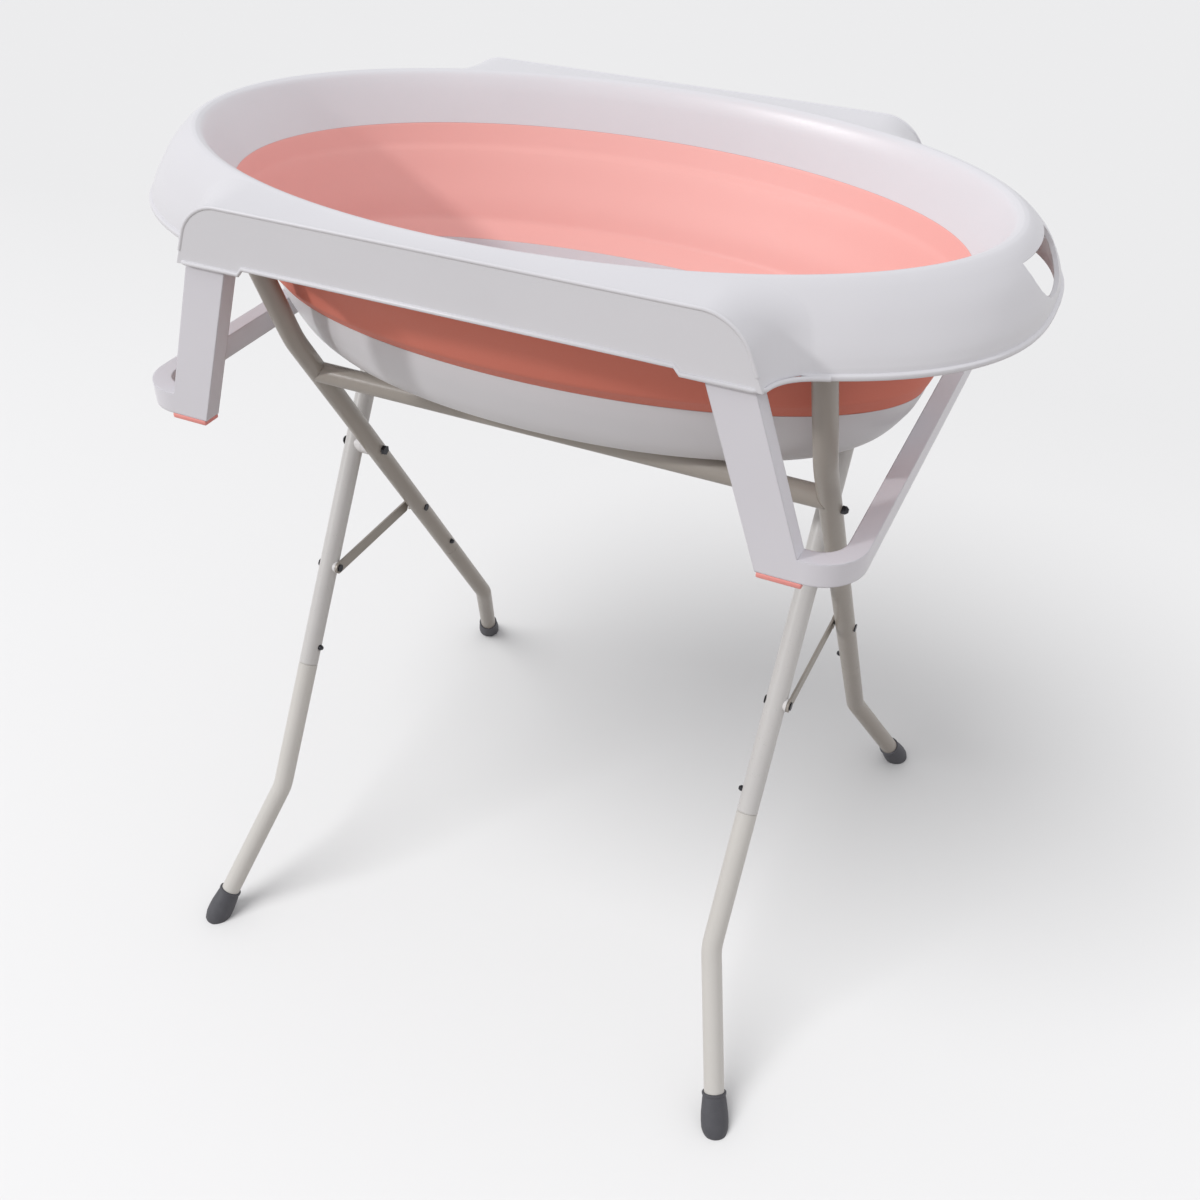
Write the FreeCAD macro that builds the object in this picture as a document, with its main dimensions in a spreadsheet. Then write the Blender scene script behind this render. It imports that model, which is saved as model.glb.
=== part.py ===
"""Folding baby bath: collapsible tub with two folding legs, on a stand of two crossed tube frames."""
import FreeCAD, Part
import Sketcher
import math
import os

Vec = FreeCAD.Vector
Turn = FreeCAD.Rotation
Place = FreeCAD.Placement

# Driving sizes, in millimetres and degrees.
SIZES = {
    # Stand: two like frames of bent tube, crossed at one pivot on each side.
    "tube_od": 22, "tube_wall": 1.2, "tube_gap": 6, "frame_half_width": 278,
    "pivot_height": 523, "scissor_angle": 31.7, "tube_below_pivot": 269,
    "tube_bend_reach": 208, "tube_bend_radius": 150, "tube_bend_angle": 10, "tube_upper_run": 115,
    "crossbar_reach": 162, "crossbar_od": 22, "stud_reach": 146, "brace_reach": 148,
    # Lower legs plug into the frames and splay outwards.
    "leg_tube_od": 22, "leg_tube_wall": 1.2, "leg_neck_od": 19, "leg_insert": 55, "leg_shoulder": 1.5,
    "leg_bend_reach": 424, "leg_splay_angle": 15.7, "leg_bend_radius": 60,
    "foot_inset": 11, "foot_radius": 15, "foot_height": 42, "foot_heel": 11,
    # Fasteners and small fittings of the stand.
    "bolt_radius": 3, "head_radius": 6, "head_height": 2.4, "nut_width": 11.5, "nut_height": 4,
    "saddle_radius": 10, "saddle_gap": 0.3, "rivet_radius": 2.5, "rivet_head_radius": 4.5,
    "rivet_head_height": 1.2, "stud_radius": 4, "stud_dome_height": 6,
    "brace_width": 14, "brace_thickness": 2.5, "brace_hook_radius": 9, "brace_play": 0.35,
    "hook_pin_radius": 2.5, "hook_play": 0.35, "hook_slant": 32,
    "plug_stem": 18, "plug_collar": 6, "plug_dome": 5, "plug_land_radius": 7, "plug_play": 0.2,
    "button_height": 22, "button_radius": 3.2, "button_flange_radius": 4.4, "button_flange": 1.3,
    "button_proud": 4, "button_seat": 6.4, "button_play": 0.3,
    "clip_width": 6, "clip_thickness": 0.8, "clip_length": 42, "leaf_length": 30,
    # Tub: rim, collapsible wall and basin are ovals.
    "rim_top": 903, "lip_height": 838, "crest_half_length": 401, "crest_half_width": 222,
    "lip_half_length": 437, "lip_half_width": 244, "crest_roll": 12, "crest_roll_depth": 9,
    "wall_half_length": 366, "wall_half_width": 208, "wall_bottom": 853,
    "plastic_wall": 3, "lip_flange": 3, "lip_flange_height": 4,
    "rail_face": 250, "rail_depth": 66, "rail_top": 900, "rail_bottom": 848,
    "rail_half_top": 247, "rail_half_bottom": 270, "rail_corner": 38,
    "tab_drop": 6, "tab_length": 66, "tab_bevel": 5,
    "seat_width": 32, "seat_depth": 26, "seat_play": 0.6, "seat_side_play": 2.6, "seat_grip": 6,
    "seat_top_drop": 25,
    "hand_hole_half_width": 50, "hand_hole_top": 892, "hand_hole_depth": 38, "hand_hole_reach": 60,
    "joint_gap": 0.3, "bellows_wall": 2.4, "bellows_bottom": 744, "basin_wall": 3,
    "basin_half_length": 345, "basin_half_width": 150, "floor_half_length": 280, "floor_half_width": 121,
    "basin_bottom": 678,
    "drain_radius": 19, "drain_place": 200, "drain_play": 0.35, "drain_flange": 5, "drain_cap": 4,
    "drain_tab_width": 20, "drain_tab_height": 12, "drain_tab_thickness": 4,
    # Tub legs: two U frames hinged on the rails.
    "hinge_place": 237.5, "hinge_rise": 9, "hinge_pin_radius": 4, "tongue_radius": 14,
    "leg_angle": 18.5, "arm_width": 39, "arm_depth": 18, "arm_wall": 3, "arm_clear": 1,
    "arm_top_gap": 13, "leg_drop": 177, "crossmember_height": 22, "corner_radius": 42,
    "pad_height": 5, "pad_proud": 1.5, "rib_thickness": 3, "rib_half_width": 15,
    # Fits and cuts.
    "running_play": 0.05, "overrun": 40,
}

# Skirt of the rim from crest to lip: shares of the way out and of the way down.
SKIRT_SHARES = [(0, 0), (0.34, 0.12), (0.64, 0.32), (0.86, 0.6), (1, 1)]
# Collapsible wall from top to bottom: shares of the way in and of the way down.
BELLOWS_SHARES = [(0, 0), (0.1, 0.19), (0.4, 0.46), (0.73, 0.85), (1, 1)]
# Basin from its edge to its floor: shares of the way in and of the way down.
BASIN_SHARES = [(0, 0), (0.14, 0.34), (0.4, 0.7), (0.7, 0.92), (1, 1)]
# Foot cap from sole to neck: shares of its greatest radius and of its height.
FOOT_SHARES = [(0.5, 0), (0.84, 0.1), (1, 0.36), (0.95, 0.64), (0.81, 1)]

doc = FreeCAD.newDocument("folding_baby_bath")
sheet = doc.addObject("Spreadsheet::Sheet", "Sizes")
for row, (alias, value) in enumerate(SIZES.items(), start=1):
    sheet.set(f"A{row}", alias)
    sheet.set(f"B{row}", str(value))
    sheet.setAlias(f"B{row}", alias)
doc.recompute()
nodes = []


def size(alias):
    """A driving size, read from the sheet."""
    return float(sheet.get(alias))


def number(formula):
    """The value of a formula over the sheet."""
    return float(sheet.evalExpression(formula.replace("Sizes.", "")))


def add(kind, name, place=None, **formulas):
    """An object whose sizes follow formulas over the sheet."""
    thing = doc.addObject(kind, name)
    for prop, formula in formulas.items():
        thing.setExpression(prop, formula)
    if place is not None:
        thing.Placement = place
    return thing


def at(x=0, y=0, z=0, turn=None):
    return Place(Vec(x, y, z), turn or Turn())


def along(direction):
    """The turn that points the Z axis along a direction."""
    return Turn(Vec(0, 0, 1), Vec(*direction))


def rod(name, place, radius, length):
    """A cylinder from the place along its Z axis."""
    return add("Part::Cylinder", name, place, Radius=radius, Height=length)


def block(name, corner, length, width, height):
    return add("Part::Box", name, at(*corner), Length=length, Width=width, Height=height)


def fuse(name, shapes):
    if len(shapes) == 1:
        return shapes[0]
    thing = add("Part::MultiFuse", name)
    thing.Shapes = shapes
    return thing


def cut(name, base, tool):
    thing = add("Part::Cut", name)
    thing.Base = base
    thing.Tool = tool
    return thing


def common(name, base, tool):
    thing = add("Part::Common", name)
    thing.Base = base
    thing.Tool = tool
    return thing


def group(name, shapes):
    thing = add("Part::Compound", name)
    thing.Links = shapes
    return thing


def node(label, thing, place=None):
    """Names a finished sub-part and puts it in its place."""
    thing.Label = label
    if place is not None:
        thing.Placement = place
    nodes.append(thing)
    return thing


def origin_plane(body, role):
    return next(feature for feature in body.Origin.OriginFeatures if feature.Role == role)


def outline(body, role, name, corners):
    """A closed sketch on a body's own plane; each corner is a pair of formulas that hold it."""
    sketch = body.newObject("Sketcher::SketchObject", name)
    sketch.AttachmentSupport = [(origin_plane(body, role), "")]
    sketch.MapMode = "FlatFace"
    points = [Vec(number(across), number(up), 0) for across, up in corners]
    for index, point in enumerate(points):
        sketch.addGeometry(Part.LineSegment(point, points[(index + 1) % len(points)]), False)
    for index in range(len(points)):
        following = (index + 1) % len(points)
        sketch.addConstraint(Sketcher.Constraint("Coincident", index, 2, following, 1))
    for index, (point, corner) in enumerate(zip(points, corners)):
        for kind, axis, value, formula in (("DistanceX", -2, point.x, corner[0]),
                                           ("DistanceY", -1, point.y, corner[1])):
            if value == 0:
                sketch.addConstraint(Sketcher.Constraint("PointOnObject", index, 1, axis))
            elif value > 0:
                held = sketch.addConstraint(Sketcher.Constraint(kind, -1, 1, index, 1, value))
                sketch.setExpression(f"Constraints[{held}]", formula)
            else:
                held = sketch.addConstraint(Sketcher.Constraint(kind, index, 1, -1, 1, -value))
                sketch.setExpression(f"Constraints[{held}]", f"-({formula})")
    return sketch


def turned(name, corners, place=None):
    """A body turned about its Z axis from a half outline of radius and height formulas."""
    body = add("PartDesign::Body", name)
    sketch = outline(body, "XZ_Plane", f"{name}_half", corners)
    spin = body.newObject("PartDesign::Revolution", f"{name}_turn")
    spin.Profile = sketch
    spin.ReferenceAxis = (sketch, ["V_Axis"])
    spin.Angle = 360
    if place is not None:
        body.Placement = place
    return body


def padded(name, corners, length):
    """A body padded towards -Y from an outline in the XZ plane."""
    body = add("PartDesign::Body", name)
    pad = body.newObject("PartDesign::Pad", f"{name}_pad")
    pad.Profile = outline(body, "XZ_Plane", f"{name}_outline", corners)
    pad.setExpression("Length", length)
    return body


def oval_loft(name, sections, closed=False):
    """A solid through level ovals of half length, half width and height; closed makes it a ring."""
    ovals = []
    for index, (half_length, half_width, height) in enumerate(sections):
        oval = add("Part::Ellipse", f"{name}_oval_{index}", at(turn=Turn(Vec(0, 0, 1), 180)),
                   MajorRadius=half_length, MinorRadius=half_width)
        oval.setExpression("Placement.Base.z", height)
        ovals.append(oval)
    loft = add("Part::Loft", name)
    loft.Sections = ovals
    loft.Solid = True
    loft.Ruled = True
    loft.Closed = closed
    return loft


def bent_rod(name, radius, first, bend_radius, bend_angle, second):
    """A rod up Z for the first run, round a bend towards +Y, then straight for the second run."""
    angle = math.radians(number(bend_angle))
    reach = number(bend_radius)
    start = Vec(0, 0, number(first))
    to_tube = Vec(0, -1, 0)
    onward = Vec(0, 0, 1)
    bend = add("Part::Torus", f"{name}_bend", Radius1=bend_radius, Radius2=radius, Angle3=bend_angle)
    bend.Placement = Place(start - to_tube * reach, Turn(to_tube, onward, to_tube.cross(onward), "XYZ"))
    centre = start - to_tube * reach
    end = centre + to_tube * (reach * math.cos(angle)) + onward * (reach * math.sin(angle))
    leaving = Vec(0, math.sin(angle), math.cos(angle))
    parts = [rod(f"{name}_first", at(), radius, first), bend,
             rod(f"{name}_second", Place(end, along(leaving)), radius, second)]
    return fuse(name, parts), end, leaving


def bent_tube(name, od, wall, first, bend_radius, bend_angle, second, holes):
    """A bent tube with its bore; cross holes are name, height, radius, and start and length along X."""
    skin, end, leaving = bent_rod(f"{name}_skin", f"{od} / 2", first, bend_radius, bend_angle, second)
    bore, _, _ = bent_rod(f"{name}_bore", f"{od} / 2 - {wall}", first, bend_radius, bend_angle, second)
    tools = [bore]
    for hole, height, radius, start, length in holes:
        place = at(number(start), 0, number(height), along((1, 0, 0)))
        tools.append(rod(f"{name}_{hole}", place, radius, length))
    return cut(name, skin, fuse(f"{name}_tools", tools)), end, leaving


tilt = math.radians(size("scissor_angle"))
splay = math.radians(size("leg_splay_angle"))
pitch = size("tube_od") + size("tube_gap")
NEAR = -(size("frame_half_width") - pitch / 2)
FAR = size("frame_half_width") + pitch / 2
TUBES = (("near", NEAR, 1), ("far", FAR, -1))
FRAMES = (("inner", 0, {"near": "left", "far": "right"}),
          ("outer", 180, {"near": "right", "far": "left"}))
HALF_TUBE = "Sizes.tube_od / 2"
HINGE_HEIGHT = "(Sizes.rail_bottom + Sizes.hinge_rise)"
# Sunk channel of a tub leg's arm: shares of the arm's length for its start and its length.
CHANNEL_SHARES = (0.19, 0.745)


def frame_place(turn):
    """Frames share the pivot line; the outer one is the inner one turned half round the upright axis."""
    lean = Turn(Vec(1, 0, 0), size("scissor_angle"))
    return Place(Vec(0, 0, size("pivot_height")), Turn(Vec(0, 0, 1), turn) * lean)


def frame_tubes(frame, turn, sides):
    """The two upper tubes of a frame, with holes for the pivot, stud, brace and button."""
    below = "Sizes.tube_below_pivot"
    through = ("-Sizes.tube_od", "2 * Sizes.tube_od")
    stud_radius = "Sizes.stud_radius / 2 + Sizes.running_play"
    brace_radius = "Sizes.rivet_radius" if frame == "outer" else "Sizes.hook_pin_radius"
    brace_radius += " + Sizes.running_play"
    tops = []
    for key, x, inward in TUBES:
        label = f"{frame}_{sides[key]}_tube"
        button_start = "0" if inward > 0 else "-Sizes.tube_od"
        holes = [
            ("pivot_hole", below, "Sizes.bolt_radius + Sizes.running_play", *through),
            ("stud_hole", f"{below} + Sizes.stud_reach", stud_radius, *through),
            ("brace_hole", f"{below} - Sizes.brace_reach", brace_radius, *through),
            ("button_hole", "Sizes.button_height", "Sizes.button_radius + Sizes.button_play",
             button_start, "Sizes.tube_od"),
        ]
        tube, end, leaving = bent_tube(f"{label}_shape", "Sizes.tube_od", "Sizes.tube_wall",
                                       f"{below} + Sizes.tube_bend_reach", "Sizes.tube_bend_radius",
                                       "Sizes.tube_bend_angle", "Sizes.tube_upper_run", holes)
        local = at(x, 0, -size("tube_below_pivot"))
        node(label, tube, frame_place(turn) * local)
        top = end + leaving * size("tube_upper_run")
        tops.append(local * Place(top, along(leaving)))
    return tops


def crossbar(frame, turn):
    """The bar between a frame's tubes, coped round them."""
    start = at(NEAR, 0, size("crossbar_reach"), along((1, 0, 0)))
    span = "2 * Sizes.frame_half_width"
    skin = rod(f"{frame}_bar_skin", start, "Sizes.crossbar_od / 2", span)
    bore = rod(f"{frame}_bar_bore", start, "Sizes.crossbar_od / 2 - Sizes.tube_wall", span)
    copes = [rod(f"{frame}_bar_cope_{key}", at(x, 0, 0), f"{HALF_TUBE} + Sizes.running_play",
                 "2 * Sizes.crossbar_reach") for key, x, _ in TUBES]
    bar = cut(f"{frame}_bar_shape", skin, fuse(f"{frame}_bar_tools", [bore, *copes]))
    node(f"{frame}_crossbar", bar, frame_place(turn))


def lower_legs(frame, turn, sides):
    """Lower legs, their rubber feet, and the snap buttons that hold the legs in the tubes."""
    drop = size("pivot_height") - size("leg_bend_reach") * math.cos(tilt)
    to_floor = drop / (math.cos(splay) * math.cos(tilt))
    clips = []
    for key, x, inward in TUBES:
        side = sides[key]
        outward = -inward
        turned_down = Turn(Vec(0, outward, 0), Vec(outward, 0, 0), Vec(0, 0, -1), "XYZ")
        local = Place(Vec(x, 0, size("leg_insert") - size("tube_below_pivot")), turned_down)
        label = f"{frame}_{side}_lower_leg"
        node(label, lower_leg(label), frame_place(turn) * local)

        knee = Vec(x, 0, -size("leg_bend_reach"))
        down = Vec(outward * math.sin(splay), 0, -math.cos(splay))
        sole = knee + down * to_floor
        foot(f"{frame}_{side}_foot", frame_place(turn) * Place(sole, along(-down)))
        pointing = Turn(Vec(0, 0, -1), Vec(0, inward, 0), Vec(inward, 0, 0), "XYZ")
        button_axis = Place(Vec(x, 0, size("button_height") - size("tube_below_pivot")), pointing)
        button(f"{frame}_{side}_button", frame_place(turn) * button_axis)
        clips.append(spring_clip(f"{frame}_{side}_clip", button_axis))
    node(f"{frame}_button_clips", group(f"{frame}_clips", clips), frame_place(turn))


def lower_leg(name):
    """A tube with a drawn-in neck that fits the upper tube, a shoulder at the seam, and a splayed end."""
    bend = "Sizes.leg_bend_radius * tan(Sizes.leg_splay_angle * 1 deg / 2)"
    straight = f"Sizes.leg_bend_reach - Sizes.tube_below_pivot - {bend} - Sizes.leg_shoulder"
    splayed = "(Sizes.pivot_height - Sizes.leg_bend_reach * cos(Sizes.scissor_angle * 1 deg))" \
              " / (cos(Sizes.leg_splay_angle * 1 deg) * cos(Sizes.scissor_angle * 1 deg))" \
              f" - {bend} - Sizes.foot_inset"
    radius = "Sizes.leg_tube_od / 2"
    neck = "Sizes.leg_neck_od / 2"
    wall = "Sizes.leg_tube_wall"
    bent = ("Sizes.leg_bend_radius", "Sizes.leg_splay_angle", splayed)
    below = size("leg_insert") + size("leg_shoulder")
    skin, _, _ = bent_rod(f"{name}_skin", radius, straight, *bent)
    skin.Placement = at(0, 0, below)
    shoulder = add("Part::Cone", f"{name}_shoulder", at(0, 0, size("leg_insert")),
                   Radius1=neck, Radius2=radius, Height="Sizes.leg_shoulder")
    stem = rod(f"{name}_stem", at(), neck, "Sizes.leg_insert")
    bore, _, _ = bent_rod(f"{name}_bore", f"{radius} - {wall}", f"{straight} - {wall}", *bent)
    bore.Placement = at(0, 0, below + size("leg_tube_wall"))
    stem_bore = rod(f"{name}_stem_bore", at(), f"{neck} - {wall}",
                    f"Sizes.leg_insert + Sizes.leg_shoulder + 2 * {wall}")
    button_place = at(0, 0, size("leg_insert") - size("button_height"), along((0, -1, 0)))
    button_hole = rod(f"{name}_button_hole", button_place,
                      "Sizes.button_radius + Sizes.button_play", "Sizes.tube_od")
    return cut(f"{name}_shape", fuse(f"{name}_solid", [skin, shoulder, stem]),
               fuse(f"{name}_tools", [bore, stem_bore, button_hole]))


def foot(label, place):
    """A rubber foot cap round the leg's end, cut level at the floor."""
    rise = "(Sizes.foot_height + Sizes.foot_heel)"
    outer = [(f"Sizes.foot_radius * {out}", f"-Sizes.foot_heel + {rise} * {up}") for out, up in FOOT_SHARES]
    bore = "Sizes.leg_tube_od / 2 + Sizes.running_play"
    corners = [("0", "-Sizes.foot_heel"), *outer, (bore, "Sizes.foot_height"),
               (bore, "Sizes.foot_inset"), ("0", "Sizes.foot_inset")]
    cap = turned(f"{label}_cap", corners, place)
    half = "2 * Sizes.foot_height"
    x, y = place.Base.x, place.Base.y
    floor = block(f"{label}_floor", (x - number(half), y - number(half), -number(half)),
                  f"2 * {half}", f"2 * {half}", half)
    node(label, cut(f"{label}_shape", cap, floor))


def button(label, place):
    """A snap button with its flange and the spring leaf it is riveted to; Z is the way it points."""
    skin = HALF_TUBE
    seat = "Sizes.button_seat"
    corners = [("0", f"{seat} - Sizes.button_flange"),
               ("Sizes.button_flange_radius", f"{seat} - Sizes.button_flange"),
               ("Sizes.button_flange_radius", seat), ("Sizes.button_radius", seat),
               ("Sizes.button_radius", f"{skin} + Sizes.button_proud / 2"),
               ("Sizes.button_radius * 0.6", f"{skin} + Sizes.button_proud"),
               ("0", f"{skin} + Sizes.button_proud")]
    head = turned(f"{label}_head", corners)
    leaf_base = size("button_seat") - size("button_flange") - size("clip_thickness")
    leaf = block(f"{label}_leaf", (0, -size("clip_width") / 2, leaf_base),
                 "Sizes.leaf_length", "Sizes.clip_width", "Sizes.clip_thickness")
    node(label, fuse(f"{label}_shape", [head, leaf]), place)


def spring_clip(name, axis):
    """The fixed leaf of a button's spring, lying along the far wall of the lower leg."""
    bore = size("leg_neck_od") / 2 - size("leg_tube_wall")
    half = size("clip_width") / 2
    back = math.sqrt(bore ** 2 - half ** 2) - size("running_play")
    strip = block(name, (0, -half, -back),
                  "Sizes.clip_length", "Sizes.clip_width", "Sizes.clip_thickness")
    strip.Placement = axis * strip.Placement
    return strip


def top_plugs(frame, turn, tops):
    """Moulded plugs in the upper ends of a frame's tubes, which carry the rim."""
    plugs = []
    bore = f"{HALF_TUBE} - Sizes.tube_wall - Sizes.running_play"
    crown = "Sizes.plug_collar + Sizes.plug_dome"
    corners = [("0", "-Sizes.plug_stem"), (bore, "-Sizes.plug_stem"), (bore, "0"), (HALF_TUBE, "0"),
               (HALF_TUBE, "Sizes.plug_collar"), ("Sizes.plug_land_radius", crown), ("0", crown)]
    for index, top in enumerate(tops):
        plugs.append(turned(f"{frame}_plug_{index}", corners, top))
    node(f"{frame}_top_plugs", group(f"{frame}_plugs", plugs), frame_place(turn))


def stop_studs(frame, turn):
    """Domed studs through the tubes just under the crossbar, domes on the outer sides."""
    studs = []
    shank = "Sizes.stud_radius / 2"
    head = "Sizes.stud_radius"
    tail = f"-{HALF_TUBE} - Sizes.head_height / 2"
    brow = f"{HALF_TUBE} + Sizes.stud_dome_height * 0.6"
    crown = f"{HALF_TUBE} + Sizes.stud_dome_height"
    corners = [("0", tail), (head, tail), (head, f"-{HALF_TUBE}"), (shank, f"-{HALF_TUBE}"),
               (shank, HALF_TUBE), (head, HALF_TUBE), (head, brow), (shank, crown), ("0", crown)]
    for key, x, inward in TUBES:
        place = at(x, 0, size("stud_reach"), along((-inward, 0, 0)))
        studs.append(turned(f"{frame}_stud_{key}", corners, place))
    node(f"{frame}_stop_studs", group(f"{frame}_studs", studs), frame_place(turn))


def saddles(name, reach, radius, gap, hole):
    """White spacers hugging a frame's tubes on the side that faces the other frame."""
    made = []
    for key, x, _ in TUBES:
        toward = along((-1, 0, 0))
        body = rod(f"{name}_{key}_body", at(x, 0, reach, toward), radius,
                   f"{HALF_TUBE} + Sizes.tube_gap / 2 - {gap}")
        tube = rod(f"{name}_{key}_tube", at(x, 0, reach - number(radius) * 2),
                   f"{HALF_TUBE} + Sizes.running_play", f"4 * {radius}")
        pin = rod(f"{name}_{key}_pin", at(x, 0, reach, toward), hole, "Sizes.tube_od")
        made.append(cut(f"{name}_{key}", body, fuse(f"{name}_{key}_tools", [tube, pin])))
    return group(name, made)


def pivots():
    """Bolts and nuts on the pivot line; the bolts turn in the inner frame."""
    bolts, nuts = [], []
    face = "(Sizes.tube_od + Sizes.tube_gap / 2 + Sizes.joint_gap)"
    tail = f"-{face} - Sizes.nut_height"
    crown = f"{face} + Sizes.head_height"
    corners = [("0", tail), ("Sizes.bolt_radius", tail), ("Sizes.bolt_radius", face),
               ("Sizes.head_radius", face), ("Sizes.head_radius * 0.7", crown), ("0", crown)]
    for side, way in (("left", -1), ("right", 1)):
        place = at(way * size("frame_half_width"), 0, size("pivot_height"), along((way, 0, 0)))
        bolts.append(turned(f"pivot_bolt_{side}", corners, place))
        hexagon = add("Part::Prism", f"pivot_nut_{side}_hexagon", Circumradius="Sizes.nut_width / 2",
                      Height="Sizes.nut_height")
        hexagon.Polygon = 6
        bore = rod(f"pivot_nut_{side}_bore", at(), "Sizes.bolt_radius + Sizes.running_play",
                   "Sizes.nut_height")
        nut = cut(f"pivot_nut_{side}", hexagon, bore)
        nut.Placement = place * at(0, 0, number(tail))
        nuts.append(nut)
    node("pivot_bolts", group("pivot_bolt_group", bolts))
    node("pivot_nuts", group("pivot_nut_group", nuts))


def braces():
    """Flat spreader bars riveted to the outer tubes, hooked over pins on the inner tubes."""
    span = "2 * Sizes.brace_reach * sin(Sizes.scissor_angle * 1 deg)"
    height = size("pivot_height") - size("brace_reach") * math.cos(tilt)
    front = -size("brace_reach") * math.sin(tilt)
    thick = "Sizes.brace_thickness"
    side_on = along((1, 0, 0))
    slot = "Sizes.hook_pin_radius + Sizes.hook_play"
    for side, way in (("left", -1), ("right", 1)):
        name = f"{side}_brace"
        flat = block(f"{name}_flat", (0, 0, -size("brace_width") / 2), thick, span, "Sizes.brace_width")
        foot_end = rod(f"{name}_foot_end", at(turn=side_on), "Sizes.brace_width / 2", thick)
        hook_end = rod(f"{name}_hook_end", at(0, number(span), 0, side_on),
                       "Sizes.brace_hook_radius", thick)
        eye = rod(f"{name}_eye", at(turn=side_on), "Sizes.rivet_radius + Sizes.running_play", thick)
        seat = rod(f"{name}_seat", at(0, number(span), 0, side_on), slot, thick)
        mouth = add("Part::Box", f"{name}_mouth", Length=thick, Width=f"2 * ({slot})",
                    Height="2 * Sizes.brace_hook_radius")
        slant = Turn(Vec(1, 0, 0), 180 - size("hook_slant"))
        mouth.Placement = Place(Vec(0, number(span), 0), slant) * at(0, -number(slot), 0)
        shape = cut(f"{name}_shape", fuse(f"{name}_blank", [flat, foot_end, hook_end]),
                    fuse(f"{name}_cuts", [eye, seat, mouth]))
        node(name, shape, at(way * size("frame_half_width") - size("brace_thickness") / 2, front, height))


def brace_pins():
    """Rivets at the foot of each brace, on the outer frame, and hook pins on the inner frame."""
    rivets, pins = [], []
    half_gap = "Sizes.tube_gap / 2"
    face = f"{HALF_TUBE} + {half_gap} + Sizes.brace_thickness / 2 + Sizes.brace_play"
    head = "Sizes.rivet_head_radius"
    shank = "Sizes.rivet_radius"
    tail = f"-{HALF_TUBE} - Sizes.rivet_head_height"
    crown = f"{face} + Sizes.rivet_head_height"
    rivet = [("0", tail), (head, tail), (head, f"-{HALF_TUBE}"), (shank, f"-{HALF_TUBE}"),
             (shank, face), (head, face), (head, crown), ("0", crown)]
    hook = "Sizes.hook_pin_radius"
    pin_end = f"{face} - Sizes.brace_play"
    pin = [("0", tail), (head, tail), (head, f"-{HALF_TUBE}"), (hook, f"-{HALF_TUBE}"),
           (hook, pin_end), ("0", pin_end)]
    for key, x, _ in TUBES:
        place = at(x, 0, -size("brace_reach"), along((-1, 0, 0)))
        rivets.append(turned(f"brace_rivet_{key}", rivet, place))
        pins.append(turned(f"brace_hook_pin_{key}", pin, place))
    node("brace_rivets", group("brace_rivet_group", rivets), frame_place(180))
    node("brace_hook_pins", group("brace_hook_pin_group", pins), frame_place(0))


def stand():
    """Both frames and what joins them; gives back the places of the four tube tops."""
    carriers = []
    for frame, turn, sides in FRAMES:
        tops = frame_tubes(frame, turn, sides)
        carriers += [frame_place(turn) * top for top in tops]
        crossbar(frame, turn)
        lower_legs(frame, turn, sides)
        top_plugs(frame, turn, tops)
        stop_studs(frame, turn)
        spacers = saddles(f"{frame}_pivot_spacer", 0, "Sizes.saddle_radius", "Sizes.saddle_gap / 2",
                          "Sizes.bolt_radius + Sizes.running_play")
        node(f"{frame}_pivot_saddles", spacers, frame_place(turn))
    bushes = saddles("brace_bush", -size("brace_reach"), "Sizes.brace_width / 2",
                     "(Sizes.brace_thickness / 2 + Sizes.brace_play)",
                     "Sizes.rivet_radius + Sizes.running_play")
    node("brace_saddles", bushes, frame_place(180))
    pivots()
    braces()
    brace_pins()
    return carriers


def skirt_sections(inset):
    """Ovals of the rim's outside, from lip to crest, drawn in by an inset."""
    sections = []
    longer = "(Sizes.lip_half_length - Sizes.crest_half_length)"
    wider = "(Sizes.lip_half_width - Sizes.crest_half_width)"
    for out, down in reversed(SKIRT_SHARES):
        length = f"Sizes.crest_half_length + {longer} * {out} - {inset}"
        width = f"Sizes.crest_half_width + {wider} * {out} - {inset}"
        height = f"Sizes.rim_top - (Sizes.rim_top - Sizes.lip_height) * {down} - {inset}"
        sections.append((length, width, height))
    return sections


def wall_sections(outset, bottom):
    """Ovals of the rim's inner wall, from below upwards, let out by an outset."""
    roll = "Sizes.crest_roll"
    wall = (f"Sizes.wall_half_length + {outset}", f"Sizes.wall_half_width + {outset}")
    shoulder = (f"Sizes.crest_half_length - {roll} + {outset}",
                f"Sizes.crest_half_width - {roll} + {outset}")
    crown = (f"Sizes.crest_half_length - {roll} / 3 + {outset}",
             f"Sizes.crest_half_width - {roll} / 3 + {outset}")
    return [(*wall, bottom), (*wall, "Sizes.wall_bottom"),
            (*shoulder, "Sizes.rim_top - Sizes.crest_roll_depth"), (*crown, "Sizes.rim_top"),
            (*crown, "Sizes.rim_top + Sizes.overrun")]


def rail_corners():
    """Outline of a rail's face: flared ends, and a deeper tab at each end over the leg hinge."""
    bottom = "Sizes.rail_bottom"
    tab = "Sizes.rail_bottom - Sizes.tab_drop"
    inner = "Sizes.rail_half_bottom - Sizes.tab_length"
    right = [(f"{inner} - Sizes.tab_bevel", bottom), (inner, tab), ("Sizes.rail_half_bottom", tab),
             ("Sizes.rail_half_top", "Sizes.rail_top")]
    left = [(f"-({across})", up) for across, up in reversed(right)]
    return right + left


def rail_core_corners(inset):
    """The inside of a rail at an inset from its skin, open below."""
    under = "Sizes.rail_bottom - Sizes.overrun"
    right = [(f"Sizes.rail_half_bottom - {inset}", under),
             (f"Sizes.rail_half_bottom - {inset}", "Sizes.rail_bottom - Sizes.tab_drop"),
             (f"Sizes.rail_half_top - {inset}", f"Sizes.rail_top - {inset}")]
    left = [(f"-({across})", up) for across, up in reversed(right)]
    return right + left


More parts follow.
